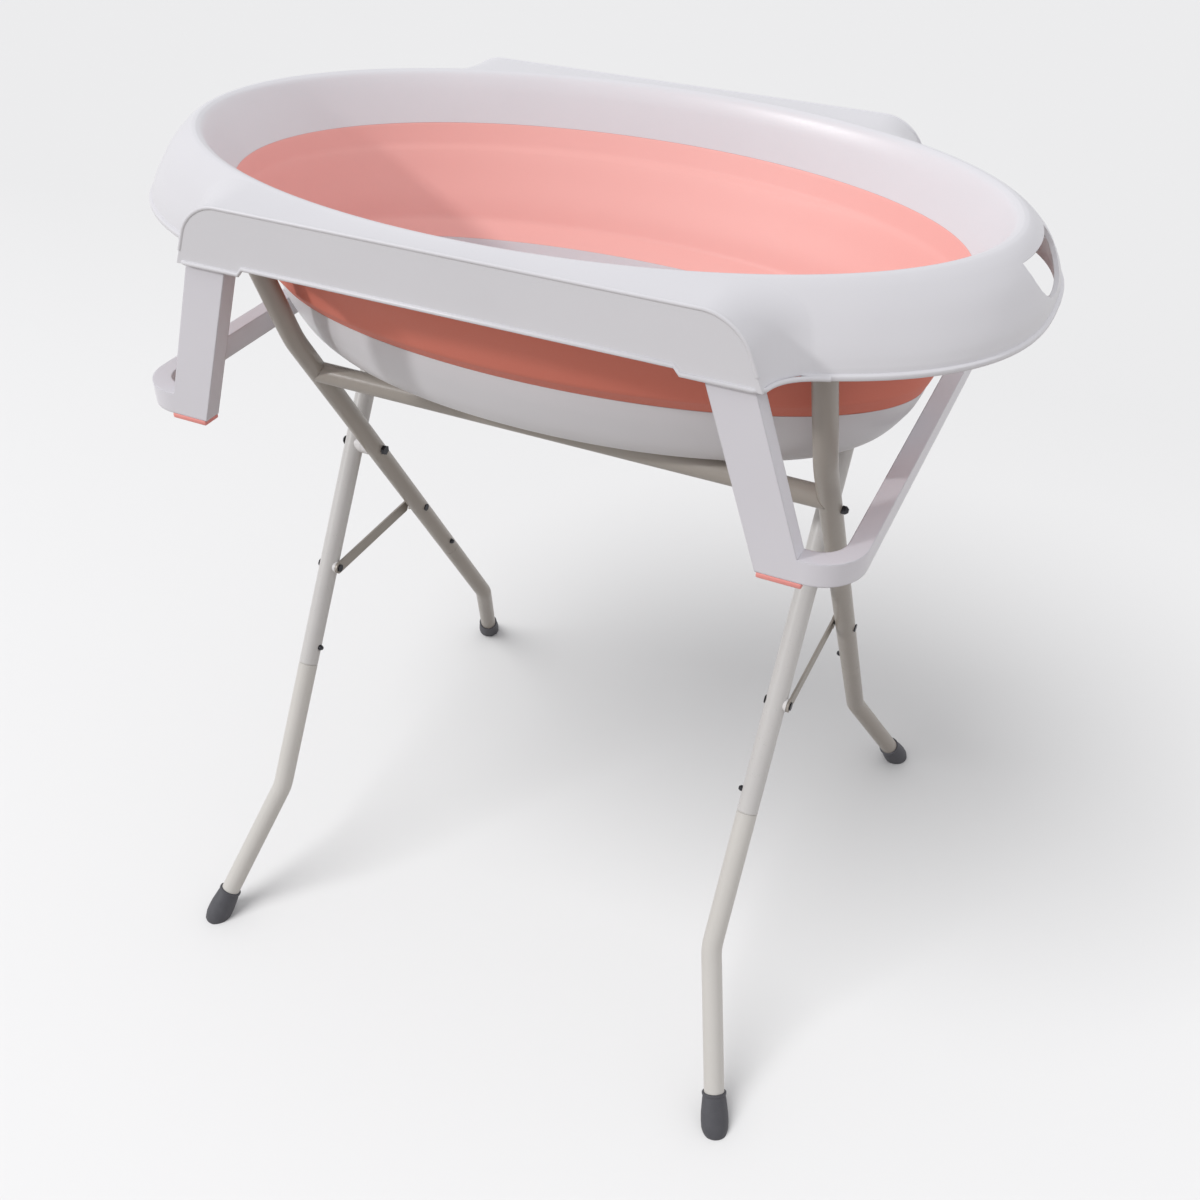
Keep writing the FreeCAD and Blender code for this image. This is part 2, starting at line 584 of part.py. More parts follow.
def round_corners(body, height, radius):
    """Rounds the two top corners of a padded rail."""
    doc.recompute()
    pad = body.Tip
    names = []
    for index, edge in enumerate(pad.Shape.Edges, start=1):
        ends = [vertex.Point for vertex in edge.Vertexes]
        level = all(abs(point.z - height) < size("running_play") for point in ends)
        if level and abs(ends[0].x - ends[1].x) < size("running_play"):
            names.append(f"Edge{index}")
    fillet = body.newObject("PartDesign::Fillet", f"{body.Name}_corners")
    fillet.Base = (pad, names)
    fillet.setExpression("Radius", radius)
    return body


def rail_pair(name, corners, face, depth, top, radius):
    """A rail on the front and its twin on the back."""
    rails = []
    for side, turn in (("front", 0), ("back", 180)):
        rail = round_corners(padded(f"{name}_{side}", corners, depth), top, radius)
        rail.Placement = Place(Vec(), Turn(Vec(0, 0, 1), turn)) * at(0, number(depth) - face, 0)
        rails.append(rail)
    return rails


def skirt_oval(height, inset):
    """Half length and half width of the rim's outside at a height, drawn in by an inset."""
    rows = [[number(formula) for formula in section] for section in skirt_sections("0")]
    for (long_low, wide_low, low), (long_high, wide_high, high) in zip(rows, rows[1:]):
        if low <= height <= high:
            share = (height - low) / (high - low)
            return (long_low + (long_high - long_low) * share - inset,
                    wide_low + (wide_high - wide_low) * share - inset)
    return rows[-1][0] - inset, rows[-1][1] - inset


def seats(tops):
    """Blocks under the skirt that rest on the tube plugs, each with a groove that holds a plug."""
    made = []
    lean = tilt - math.radians(size("tube_bend_angle"))
    ceiling = size("rim_top") - size("seat_top_drop")
    half_long, half_wide = skirt_oval(ceiling, size("plastic_wall") / 2)
    slot = f"2 * ({HALF_TUBE} + Sizes.seat_side_play)"
    for index, top in enumerate(tops):
        tip = top * Vec(0, 0, size("plug_collar") + size("plug_dome"))
        crown = tip.z + size("plug_land_radius") * math.sin(lean) + size("seat_play")
        side = 1 if tip.y > 0 else -1
        skin = Vec(tip.x, side * half_wide * math.sqrt(1 - (tip.x / half_long) ** 2), 0)
        inward = Vec(-skin.x / half_long ** 2, -skin.y / half_wide ** 2, 0).normalize()
        tangent = inward.cross(Vec(0, 0, 1))
        shift = (Vec(tip.x, tip.y, 0) - skin).dot(tangent)
        turn = Turn(tangent, inward, Vec(0, 0, 1), "ZYX")
        axes = Place(skin, turn)
        body = add("Part::Box", f"seat_body_{index}", Length="Sizes.seat_width", Width="Sizes.seat_depth")
        body.Height = ceiling - crown + size("seat_grip")
        body.Placement = axes * at(shift - size("seat_width") / 2, 0, crown - size("seat_grip"))
        groove = block(f"seat_groove_{index}", (0, 0, 0), slot, "Sizes.seat_depth + 2 * Sizes.overrun",
                       "Sizes.overrun + Sizes.seat_grip")
        groove.Placement = axes * at(shift - number(slot) / 2, -size("overrun"),
                                     crown - size("seat_grip") - size("overrun"))
        made.append(cut(f"seat_{index}", body, groove))
    return made


def hinge_points():
    return [(along_x * size("hinge_place"), along_y) for along_x in (-1, 1) for along_y in (-1, 1)]


def rim_ring():
    """The oval ring of the rim: lip, skirt, rolled crest and inner wall, hollow from below."""
    flange = ("Sizes.lip_half_length + Sizes.lip_flange", "Sizes.lip_half_width + Sizes.lip_flange")
    lip = [(*flange, "Sizes.lip_height"), (*flange, "Sizes.lip_height + Sizes.lip_flange_height"),
           ("Sizes.lip_half_length", "Sizes.lip_half_width",
            "Sizes.lip_height + 2 * Sizes.lip_flange_height")]
    outside = lip + skirt_sections("0")[1:]
    wall_inside = wall_sections("0", "Sizes.wall_bottom")[1:4]
    wall_outside = wall_sections("Sizes.plastic_wall", "Sizes.wall_bottom")[1:3]
    skirt_inside = skirt_sections("Sizes.plastic_wall")
    length, width, _ = skirt_inside[0]
    skirt_inside[0] = (length, width, "Sizes.lip_height")
    loop = [*outside, *reversed(wall_inside), *wall_outside, *reversed(skirt_inside)]
    return oval_loft("rim_ring", loop, closed=True)


def hinge_ribs(cores):
    """Ribs across the rail ends that hold the inner ends of the leg hinge pins, and their holes."""
    ribs, holes = [], []
    inner = size("rail_face") - size("plastic_wall") - 2 * size("arm_clear") - size("arm_depth")
    inner -= size("rib_thickness")
    for index, (x, way) in enumerate(hinge_points()):
        start = inner if way > 0 else -inner - size("rib_thickness")
        corner = (x - size("rib_half_width"), start, size("rail_bottom"))
        blank = block(f"hinge_rib_blank_{index}", corner, "2 * Sizes.rib_half_width",
                      "Sizes.rib_thickness", "Sizes.rail_top - Sizes.rail_bottom")
        ribs.append(common(f"hinge_rib_{index}", blank, cores[0 if way < 0 else 1]))
        place = at(x, start - size("plastic_wall"), number(HINGE_HEIGHT), along((0, 1, 0)))
        holes.append(rod(f"hinge_rib_hole_{index}", place, "Sizes.hinge_pin_radius + Sizes.running_play",
                         "3 * Sizes.plastic_wall"))
    return ribs, holes


def hand_hole():
    """A grip hole with a straight top and a bowed bottom, through the skirt at one end."""
    low = "Sizes.hand_hole_top - Sizes.hand_hole_depth"
    bow = "((Sizes.hand_hole_half_width ^ 2 + Sizes.hand_hole_depth ^ 2) / (2 * Sizes.hand_hole_depth))"
    start = size("lip_half_length") - size("hand_hole_reach") / 2
    arc = rod("hand_hole_arc", at(start, 0, number(f"{low} + {bow}"), along((1, 0, 0))), bow,
              "Sizes.hand_hole_reach")
    straight = block("hand_hole_block", (start, -size("hand_hole_half_width"), number(low)),
                     "Sizes.hand_hole_reach", "2 * Sizes.hand_hole_half_width", "Sizes.hand_hole_depth")
    return common("hand_hole", arc, straight)


def rail_cores(name, inset):
    """The insides of the front and back rails at an inset from their skins."""
    return rail_pair(name, rail_core_corners(inset), size("rail_face") - number(inset),
                     "Sizes.rail_depth", size("rail_top") - number(inset), f"Sizes.rail_corner - {inset}")


def upper_rim(tops):
    """Oval rim with a rolled crest, outer skirt, straight rails on the long sides and a hand hole."""
    rails = rail_pair("rail", rail_corners(), size("rail_face"), "Sizes.rail_depth", size("rail_top"),
                      "Sizes.rail_corner")
    rooms = rail_cores("rail_room", "Sizes.plastic_wall")
    shells = [cut(f"{rail.Name}_shell", rail, room) for rail, room in zip(rails, rooms)]
    ribs, pin_holes = hinge_ribs(rail_cores("rail_core", "Sizes.plastic_wall / 2"))
    opening = oval_loft("rim_opening", wall_sections("0", "Sizes.lip_height - Sizes.overrun"))
    blank = fuse("rim_blank", [rim_ring(), *shells, *seats(tops), *ribs])
    rim = cut("rim_shape", blank, fuse("rim_cuts", [opening, hand_hole(), *pin_holes]))
    node("upper_rim", rim, at())


def shares_between(shares, top, bottom, outset):
    """Ovals from bottom to top between two ovals of half length, half width and height."""
    sections = []
    for way_in, down in reversed(shares):
        row = [f"{high} + ({low} - {high}) * {share}" for high, low, share in
               zip(top, bottom, (way_in, way_in, down))]
        sections.append((f"{row[0]} + {outset}", f"{row[1]} + {outset}", row[2]))
    return sections


def bellows_wall():
    """Soft collapsible wall from the rim down to the basin."""
    top = ("Sizes.wall_half_length", "Sizes.wall_half_width", "(Sizes.wall_bottom - Sizes.joint_gap)")
    bottom = ("(Sizes.basin_half_length - Sizes.basin_wall)",
              "(Sizes.basin_half_width - Sizes.basin_wall)", "(Sizes.bellows_bottom + Sizes.joint_gap)")
    outside = shares_between(BELLOWS_SHARES, top, bottom, "Sizes.bellows_wall")
    inside = shares_between(BELLOWS_SHARES, top, bottom, "0")
    node("bellows_wall", oval_loft("bellows_shape", [*outside, *reversed(inside)], closed=True), at())


def basin():
    """Rigid bowl with a flat floor and a drain hole."""
    top = ("Sizes.basin_half_length", "Sizes.basin_half_width", "Sizes.bellows_bottom")
    bottom = ("Sizes.floor_half_length", "Sizes.floor_half_width", "Sizes.basin_bottom")
    inner_bottom = (bottom[0], bottom[1], "(Sizes.basin_bottom + Sizes.basin_wall)")
    outside = oval_loft("basin_outside", shares_between(BASIN_SHARES, top, bottom, "0"))
    inside = oval_loft("basin_inside",
                       shares_between(BASIN_SHARES, top, inner_bottom, "-Sizes.basin_wall"))
    drain = rod("basin_drain", at(size("drain_place"), 0, size("basin_bottom") - size("overrun") / 2),
                "Sizes.drain_radius + Sizes.drain_play", "Sizes.overrun")
    node("basin", cut("basin_shape", outside, fuse("basin_cuts", [inside, drain])), at())


def drain_plug():
    """Plug that sits in the drain hole under a flange, with a tab to pull."""
    floor = "Sizes.basin_wall + Sizes.drain_play"
    flange = "Sizes.drain_radius + Sizes.drain_flange"
    crown = f"{floor} + Sizes.drain_cap"
    radius = "Sizes.drain_radius"
    corners = [("0", "0"), (radius, "0"), (radius, floor), (flange, floor),
               (flange, f"{floor} + Sizes.drain_cap / 2"), (radius, crown), ("0", crown)]
    cap = turned("drain_cap_body", corners)
    tab_corner = (-size("drain_tab_thickness") / 2, -size("drain_tab_width") / 2, number(floor))
    tab = block("drain_tab", tab_corner, "Sizes.drain_tab_thickness", "Sizes.drain_tab_width",
                "Sizes.drain_cap + Sizes.drain_tab_height")
    plug = fuse("drain_plug_shape", [cap, tab])
    node("drain_plug", plug, at(size("drain_place"), 0, size("basin_bottom")))


def tub_leg(side, way):
    """A U frame: two channel arms hinged on the rails, round corners and a cross member along Y."""
    lean = Turn(Vec(0, 1, 0), -way * size("leg_angle"))
    slope = math.radians(size("leg_angle"))
    front = size("rail_face") - size("plastic_wall") - size("arm_clear")
    arm_bottom = number(HINGE_HEIGHT) - size("leg_drop")
    drop = size("leg_drop") / math.cos(slope)
    arm_run = "(Sizes.leg_drop / cos(Sizes.leg_angle * 1 deg) - Sizes.arm_top_gap)"
    channel_start, channel_run = CHANNEL_SHARES
    foot_x = size("hinge_place") + math.tan(slope) * size("leg_drop")
    outer_x = foot_x + size("arm_width") / 2
    inner_y = front - size("arm_depth")
    solids, pads = [], []
    floor_z = arm_bottom - size("overrun")
    for end, sign in (("front", -1), ("back", 1)):
        name = f"{side}_leg_{end}"
        y = inner_y if sign > 0 else -front
        hinge = Place(Vec(way * size("hinge_place"), 0, number(HINGE_HEIGHT)), lean)
        arm = add("Part::Box", f"{name}_arm", Length="Sizes.arm_width", Width="Sizes.arm_depth",
                  Height=f"{arm_run} + Sizes.overrun")
        arm.Placement = hinge * at(-size("arm_width") / 2, y, -drop - size("overrun"))
        channel = add("Part::Box", f"{name}_channel", Length="Sizes.arm_width - 2 * Sizes.arm_wall",
                      Width="Sizes.arm_depth", Height=f"{arm_run} * {channel_run}")
        back = y - size("arm_wall") if sign > 0 else y + size("arm_wall")
        channel.Placement = hinge * at(-size("arm_width") / 2 + size("arm_wall"), back,
                                       -drop + number(arm_run) * channel_start)
        tongue = rod(f"{name}_tongue", hinge * at(0, y, 0, along((0, 1, 0))),
                     "Sizes.tongue_radius", "Sizes.arm_depth")
        neck = add("Part::Box", f"{name}_neck", Length="2 * Sizes.tongue_radius", Width="Sizes.arm_depth",
                   Height="Sizes.arm_top_gap + Sizes.arm_wall")
        neck.Placement = hinge * at(-size("tongue_radius"), y, -size("arm_top_gap") - size("arm_wall"))
        eye_place = at(way * size("hinge_place"), y - size("arm_wall"), number(HINGE_HEIGHT),
                       along((0, 1, 0)))
        eye = rod(f"{name}_eye", eye_place, "Sizes.hinge_pin_radius + Sizes.running_play",
                  "Sizes.arm_depth + 2 * Sizes.arm_wall")
        below_corner = (-2 * size("rail_half_bottom"), -2 * size("rail_face"), floor_z - size("overrun"))
        below = block(f"{name}_below", below_corner,
                      "4 * Sizes.rail_half_bottom", "4 * Sizes.rail_face", "2 * Sizes.overrun")
        solids.append(cut(f"{name}_arm_cut", fuse(f"{name}_blank", [arm, tongue, neck]),
                          fuse(f"{name}_cuts", [channel, eye, below])))
        centre_y = sign * (front - size("corner_radius"))
        ring = rod(f"{name}_ring", at(way * outer_x, centre_y, arm_bottom),
                   "Sizes.corner_radius", "Sizes.crossmember_height")
        ring_room = rod(f"{name}_ring_room", at(way * outer_x, centre_y, arm_bottom),
                        "Sizes.corner_radius - Sizes.arm_depth", "Sizes.crossmember_height")
        quarter_x = outer_x if way > 0 else -outer_x - size("corner_radius")
        quarter_y = centre_y if sign > 0 else centre_y - size("corner_radius")
        quarter = block(f"{name}_quarter", (quarter_x, quarter_y, arm_bottom),
                        "Sizes.corner_radius", "Sizes.corner_radius", "Sizes.crossmember_height")
        solids.append(common(f"{name}_corner", cut(f"{name}_corner_ring", ring, ring_room), quarter))
        heel = block(f"{name}_heel", (way * foot_x if way > 0 else -outer_x, y, arm_bottom),
                     "Sizes.arm_width / 2", "Sizes.arm_depth", "Sizes.crossmember_height")
        solids.append(heel)
        pad_x = way * foot_x - size("arm_width") / 2
        pad_y = y - size("pad_proud") / 2
        pads.append(block(f"{name}_pad", (pad_x, pad_y, arm_bottom - size("pad_height")),
                          "Sizes.arm_width", "Sizes.arm_depth + Sizes.pad_proud", "Sizes.pad_height"))
    length = 2 * (front - size("corner_radius"))
    bar_x = outer_x + size("corner_radius") - size("arm_depth")
    bar_start = bar_x if way > 0 else -bar_x - size("arm_depth")
    bar = block(f"{side}_leg_bar", (bar_start, -length / 2, arm_bottom), "Sizes.arm_depth",
                "2 * (Sizes.rail_face - Sizes.plastic_wall - Sizes.arm_clear - Sizes.corner_radius)",
                "Sizes.crossmember_height")
    node(f"{side}_leg", fuse(f"{side}_leg_shape", [*solids, bar]), at())
    node(f"{side}_leg_pads", group(f"{side}_leg_pad_pair", pads), at())


def hinge_pins():
    """Pins on which the tub legs swing, each held in a rib under the rail."""
    pins = []
    for index, (x, way) in enumerate(hinge_points()):
        start = size("rail_face") - size("plastic_wall") - size("joint_gap")
        place = at(x, way * start, number(HINGE_HEIGHT), along((0, -way, 0)))
        pins.append(rod(f"hinge_pin_{index}", place, "Sizes.hinge_pin_radius",
                        "Sizes.arm_depth + 2 * Sizes.arm_clear + Sizes.rib_thickness"))
    node("leg_hinge_pins", group("hinge_pin_group", pins), at())


def main():
    tops = stand()
    upper_rim(tops)
    bellows_wall()
    basin()
    drain_plug()
    tub_leg("left", -1)
    tub_leg("right", 1)
    hinge_pins()
    doc.recompute()
    for thing in doc.Objects:
        if "Invalid" in thing.State or "Error" in thing.State:
            raise RuntimeError(f"{thing.Name} failed: {thing.State}")
    for thing in nodes:
        if thing.Shape.isNull() or not thing.Shape.isValid():
            raise RuntimeError(f"{thing.Label} has no valid shape")
    os.makedirs("parts", exist_ok=True)
    for thing in nodes:
        thing.Shape.exportStep(f"parts/{thing.Label}.step")
        box = thing.Shape.BoundBox
        print(f"{thing.Label}: {len(thing.Shape.Solids)} solids, {thing.Shape.Volume:.0f} mm3,"
              f" x {box.XMin:.1f} {box.XMax:.1f}, y {box.YMin:.1f} {box.YMax:.1f},"
              f" z {box.ZMin:.1f} {box.ZMax:.1f}")


main()
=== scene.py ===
# %% [markdown]
# # A folding baby bath on its stand
# The solids of the bath come in first, as a fixed frame: tubes, legs, pins and springs all keep
# their place and their joints. This lesson then dresses that frame. The smooth moulded pieces are
# modelled again with soft edges, and every surface gets a finish of its own.

# %% Load the frame
import math

import bmesh
import bpy
from mathutils import Matrix, Vector, geometry


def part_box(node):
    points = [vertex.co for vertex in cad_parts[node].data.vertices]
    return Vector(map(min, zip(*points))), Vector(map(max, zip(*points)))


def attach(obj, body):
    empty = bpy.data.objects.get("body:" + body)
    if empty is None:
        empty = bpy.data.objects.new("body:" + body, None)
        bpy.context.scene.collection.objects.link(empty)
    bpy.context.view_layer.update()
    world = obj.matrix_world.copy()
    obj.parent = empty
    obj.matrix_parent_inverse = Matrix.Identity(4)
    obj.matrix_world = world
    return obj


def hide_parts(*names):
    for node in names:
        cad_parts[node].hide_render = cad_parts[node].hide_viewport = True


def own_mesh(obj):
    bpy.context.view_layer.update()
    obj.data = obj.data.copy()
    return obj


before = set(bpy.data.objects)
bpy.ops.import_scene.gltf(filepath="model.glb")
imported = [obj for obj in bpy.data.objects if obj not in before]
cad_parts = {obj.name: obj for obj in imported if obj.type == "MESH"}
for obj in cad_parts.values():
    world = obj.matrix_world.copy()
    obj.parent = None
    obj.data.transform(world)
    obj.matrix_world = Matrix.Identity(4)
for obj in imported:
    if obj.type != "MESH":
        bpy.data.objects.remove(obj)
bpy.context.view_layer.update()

# %% [markdown]
# ## Camera
# The photograph looks down on the bath from the front, a little from its right end. A camera can be
# aimed with a constraint, but here its three axes are built from a heading, a downward pitch and a
# small roll, because those three angles were measured from the picture.

# %% Camera at the photograph's viewpoint
HEADING, PITCH, ROLL = -0.432, 0.655, -0.012  # radians
EYE = (0.5192, -1.0716, 1.3033)
SENSOR = 36  # millimetres across the whole picture
FOCUS_PIXELS, PICTURE_PIXELS = 1300.8, 1200
ahead = Vector((math.sin(HEADING) * math.cos(PITCH), math.cos(HEADING) * math.cos(PITCH),
                -math.sin(PITCH)))
level = Vector((math.cos(HEADING), -math.sin(HEADING), 0))
down = ahead.cross(level)
across = level * math.cos(ROLL) + down * math.sin(ROLL)
below = down * math.cos(ROLL) - level * math.sin(ROLL)
lens = bpy.data.cameras.new("camera")
lens.sensor_width = SENSOR
lens.lens = SENSOR * FOCUS_PIXELS / PICTURE_PIXELS
camera = bpy.data.objects.new("camera", lens)
bpy.context.scene.collection.objects.link(camera)
axes = Matrix((across, -below, -ahead)).transposed()
camera.matrix_world = Matrix.Translation(EYE) @ axes.to_4x4()
bpy.context.scene.camera = camera
print("lens", round(lens.lens, 2), "mm")

# %% [markdown]
# ## Materials: two small helpers
# Colours are given as sRGB hex values, and Blender's shaders want linear light, so one
# function turns the one into the other. A second one adds a node, sets its options and fills its
# sockets with plain values or links, which keeps every node tree short enough to read.

# %% Colour and node helpers
def linear(hex_colour):
    """A hex colour as linear light with full alpha."""
    parts = [int(hex_colour[index:index + 2], 16) / 255 for index in (0, 2, 4)]
    light = [part / 12.92 if part <= 0.04045 else ((part + 0.055) / 1.055) ** 2.4 for part in parts]
    return light + [1]


def put(tree, kind, sockets, **options):
    """Adds a node, sets its options, and fills its sockets with values or links."""
    made = tree.nodes.new(kind)
    for option, value in options.items():
        setattr(made, option, value)
    for socket, value in sockets.items():
        if isinstance(value, bpy.types.NodeSocket):
            tree.links.new(value, made.inputs[socket])
        else:
            made.inputs[socket].default_value = value
    return made


print("middle grey is", round(linear("808080")[0], 3), "in linear light")

# %% [markdown]
# ## Materials: one recipe for moulded and painted surfaces
# Plastic, rubber and paint share a build-up. The colour drifts a little over the piece, as pigment
# and dust do. A fine grain, from the mould or from the spray gun, breaks up the gloss and gives a
# slight relief. A rounded-edge normal takes the knife edge off corners. Painted textures would need
# an unwrapped mesh, while noise needs only the object's own coordinates. The recipe takes real sizes
# in millimetres, so each pattern's scale follows from the thing itself.

# %% The surface recipe
GLOSS_SPREAD = 0.06
GRAIN_LOW, GRAIN_HIGH = 0.3, 0.7  # most of the noise lies between these two
EDGE_SAMPLES = 6


def surface(name, light, dark, roughness, grain_mm, relief_mm, drift_mm=90, edge_mm=0, **constants):
    """A material that drifts between two near colours, with a fine grain and softened edges."""
    material = bpy.data.materials.new(name)
    material.use_nodes = True
    tree = material.node_tree
    shader = tree.nodes["Principled BSDF"]
    for socket, value in constants.items():
        shader.inputs[socket.replace("_", " ")].default_value = value
    place = put(tree, "ShaderNodeTexCoord", {}).outputs["Object"]
    drift = put(tree, "ShaderNodeTexNoise", {"Vector": place, "Scale": 1000 / drift_mm, "Detail": 4})
    grain = put(tree, "ShaderNodeTexNoise", {"Vector": place, "Scale": 1000 / grain_mm, "Detail": 2})
    tint = put(tree, "ShaderNodeMix", {0: drift.outputs[0], 6: linear(light), 7: linear(dark)},
               data_type="RGBA")
    gloss = put(tree, "ShaderNodeMapRange", {
        "Value": grain.outputs[0], "From Min": GRAIN_LOW, "From Max": GRAIN_HIGH,
        "To Min": roughness - GLOSS_SPREAD, "To Max": roughness + GLOSS_SPREAD})
    relief = put(tree, "ShaderNodeBump", {"Height": grain.outputs[0], "Distance": relief_mm / 1000})
    if edge_mm:
        edge = put(tree, "ShaderNodeBevel", {"Radius": edge_mm / 1000}, samples=EDGE_SAMPLES)
        tree.links.new(edge.outputs[0], relief.inputs["Normal"])
    tree.links.new(tint.outputs[2], shader.inputs["Base Color"])
    tree.links.new(gloss.outputs[0], shader.inputs["Roughness"])
    tree.links.new(relief.outputs[0], shader.inputs["Normal"])
    return material


# %% [markdown]
# ## Materials: plastic, elastomer and rubber
# The rim, basin and legs are injection-moulded polypropylene: a cool white with a satin skin. The
# folding wall and the pads are a thermoplastic elastomer, softer and duller. The feet are moulded
# rubber, and the small plugs and spacers are nylon.

# %% Moulded finishes
# Moulded polypropylene: cool white, satin, so highlights spread wide.
rim_white = surface("polypropylene_moulded_white", "E2E1E5", "DDDCE0", roughness=0.36, grain_mm=1.4,
                    relief_mm=0.012, edge_mm=0.6, IOR=1.49)
# The same plastic on the legs, with rounder edges that draw a soft light line.
leg_white = surface("polypropylene_moulded_leg", "E3E1E7", "DDDBE1", roughness=0.4, grain_mm=1.4,
                    relief_mm=0.012, edge_mm=2, IOR=1.49)
# Elastomer from a matt mould: warm coral, soft sheen, no sharp reflections.
coral = surface("elastomer_moulded_coral", "F7B8B1", "F5B2AA", roughness=0.5, grain_mm=1.8,
                relief_mm=0.02, drift_mm=140, edge_mm=1.5, IOR=1.48)
# Its outer side: a little rougher, and a darker, deeper coral that is painted shade, for the outside lies
# in shade under the rim.
coral_painted_shade = surface("elastomer_coral_outer_painted_shade", "E48573", "DE7C69", roughness=0.62, grain_mm=1.8,
                      relief_mm=0.03, drift_mm=140, IOR=1.45)
# The pads: the same stuff in small blocks, dull enough to look as if they grip.
pad_coral = surface("elastomer_moulded_pad", "F2A19A", "EC948C", roughness=0.55, grain_mm=1.5,
                    relief_mm=0.03, drift_mm=30, edge_mm=1, IOR=1.48)
# Moulded rubber: dark grey, dull, with a coarse mould texture.
foot_rubber = surface("rubber_moulded_dark", "55555A", "48484D", roughness=0.62, grain_mm=1.6,
                      relief_mm=0.05, drift_mm=12, edge_mm=0.8, IOR=1.52)
# Nylon plugs and spacers: an off-white that has taken up a little dust.
nylon = surface("nylon_moulded_white", "ECEAEA", "E3E1E1", roughness=0.48, grain_mm=1.4,
                relief_mm=0.02, drift_mm=20, edge_mm=0.6, IOR=1.53)
print("materials", len(bpy.data.materials))

# %% [markdown]
# ## Materials: the metal of the stand
# The stand is steel tube under a grey powder coat, whose spray leaves a faint orange-peel. Paint
# hides the metal, so these coats are not metallic. Only the braces, the dark fasteners and the bare
# springs show some metal, and get a share of the shader's Metallic value.

# %% Metal finishes
# Powder coat: even grey, with an orange-peel drawn at 3 mm so that it still shows at this distance.
tube_grey = surface("powder_coat_light_grey", "D3D1CF", "CBC9C7", roughness=0.33, grain_mm=3,
                    relief_mm=0.03, edge_mm=0.6, IOR=1.52)
# The same coat on the inner frame, painted a darker, browner grey as the photograph shows it: painted
# shade, for the inner frame stands in the tub's shadow.
tube_grey_painted_shade = surface("powder_coat_grey_painted_shade", "ABA49C", "A29B93", roughness=0.34, grain_mm=3,
                     relief_mm=0.03, edge_mm=0.6, IOR=1.52)
# The lower legs of the outer frame: a touch warmer, so the seam to the tube can be seen.
leg_grey = surface("powder_coat_warm_grey", "D6D3CE", "CECBC6", roughness=0.36, grain_mm=3,
                   relief_mm=0.03, edge_mm=0.6, IOR=1.52)
# Zinc-plated strip with a clear coat: a soft metal grey.
brace_grey = surface("zinc_plated_strip", "A69F97", "99928A", roughness=0.42, grain_mm=2,
                     relief_mm=0.02, drift_mm=25, edge_mm=0.5, Metallic=0.35)
# Black-oxide steel of rivets, studs and bolts: dark, slightly oily gloss.
dark_steel = surface("steel_black_oxide", "3A3A3E", "2E2E32", roughness=0.35, grain_mm=1,
                     relief_mm=0.02, drift_mm=6, edge_mm=0.4, Metallic=0.6)
# Spring steel inside the legs: bare and bright.
spring_steel = surface("steel_spring_bare", "A8A8AA", "949496", roughness=0.3, grain_mm=1,
                       relief_mm=0.01, drift_mm=8, Metallic=1.0)
print("materials", len(bpy.data.materials))

# %% [markdown]
# ## Dressing the solids that stay
# Tubes, legs, braces, pins and springs already have their true shape, so only their material slots
# change. A short table of name endings picks the finish for each one, and a longer ending, such as
# the full name of a tube of the inner frame, wins over a shorter one.

# %% Finishes for the solids
FINISHES = {
    "tube": tube_grey, "crossbar": tube_grey, "lower_leg": leg_grey, "foot": foot_rubber,
    # The inner frame, lower legs included, takes the coat's darker copy: painted shade.
    "inner_left_tube": tube_grey_painted_shade, "inner_right_tube": tube_grey_painted_shade, "inner_crossbar": tube_grey_painted_shade,
    "inner_left_lower_leg": tube_grey_painted_shade, "inner_right_lower_leg": tube_grey_painted_shade,
    "left_brace": brace_grey, "right_brace": brace_grey, "studs": dark_steel, "bolts": dark_steel,
    "nuts": dark_steel, "rivets": dark_steel, "hook_pins": dark_steel, "button": dark_steel,
    "clips": spring_steel, "hinge_pins": spring_steel, "plugs": nylon, "saddles": nylon,
    "left_leg": leg_white, "right_leg": leg_white, "pads": pad_coral, "drain_plug": nylon,
    "rim": rim_white, "basin": rim_white, "wall": coral,
}


def finish_of(node):
    """The finish for a solid: the longest ending of its name wins."""
    endings = [ending for ending in FINISHES if node.endswith(ending)]
    return FINISHES[max(endings, key=len)]


for node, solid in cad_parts.items():
    solid.data.materials.clear()
    solid.data.materials.append(finish_of(node))
print("dressed", len(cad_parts), "solids")

# %% [markdown]
# ## Oval shells
# The rim, the folding wall and the basin are all stacks of level ovals. A circle is extruded upwards,
# one level for each oval, and then every level takes the size and height of its own row. Bridging
# separate rings would do as well, but two rings at one level can be joined with a twist. The lip is
# squarer than an ellipse, so a row also has a power: two gives an ellipse, more fills the corners.
# A curve through a few chosen rows gives the many rows that a smooth moulding needs. Subdivision
# would also smooth it, but it shrinks a shape, and these have to stay on their solids.

# %% A smooth curve through rows
FLOW_STEPS = 6


def flow(rows, steps=FLOW_STEPS):
    """Rows on a smooth curve that passes through the given rows."""
    points = [Vector(row) for row in rows]
    last = len(points) - 1
    out = []
    for index in range(last):
        here, there = points[index], points[index + 1]
        reach = (there - here).length / 3
        leave = (there - points[max(index - 1, 0)]).normalized() * reach
        arrive = (points[min(index + 2, last)] - here).normalized() * reach
        out += geometry.interpolate_bezier(here, here + leave, there - arrive, there, steps + 1)[:-1]
    return out + [points[last]]


print("three rows become", len(flow([(2, 1, 0), (2, 1, 1), (1, 1, 1)])))

# %% A closed shell of ovals
SIDES = 176
ELLIPSE = 2
TOUCH = 1e-6


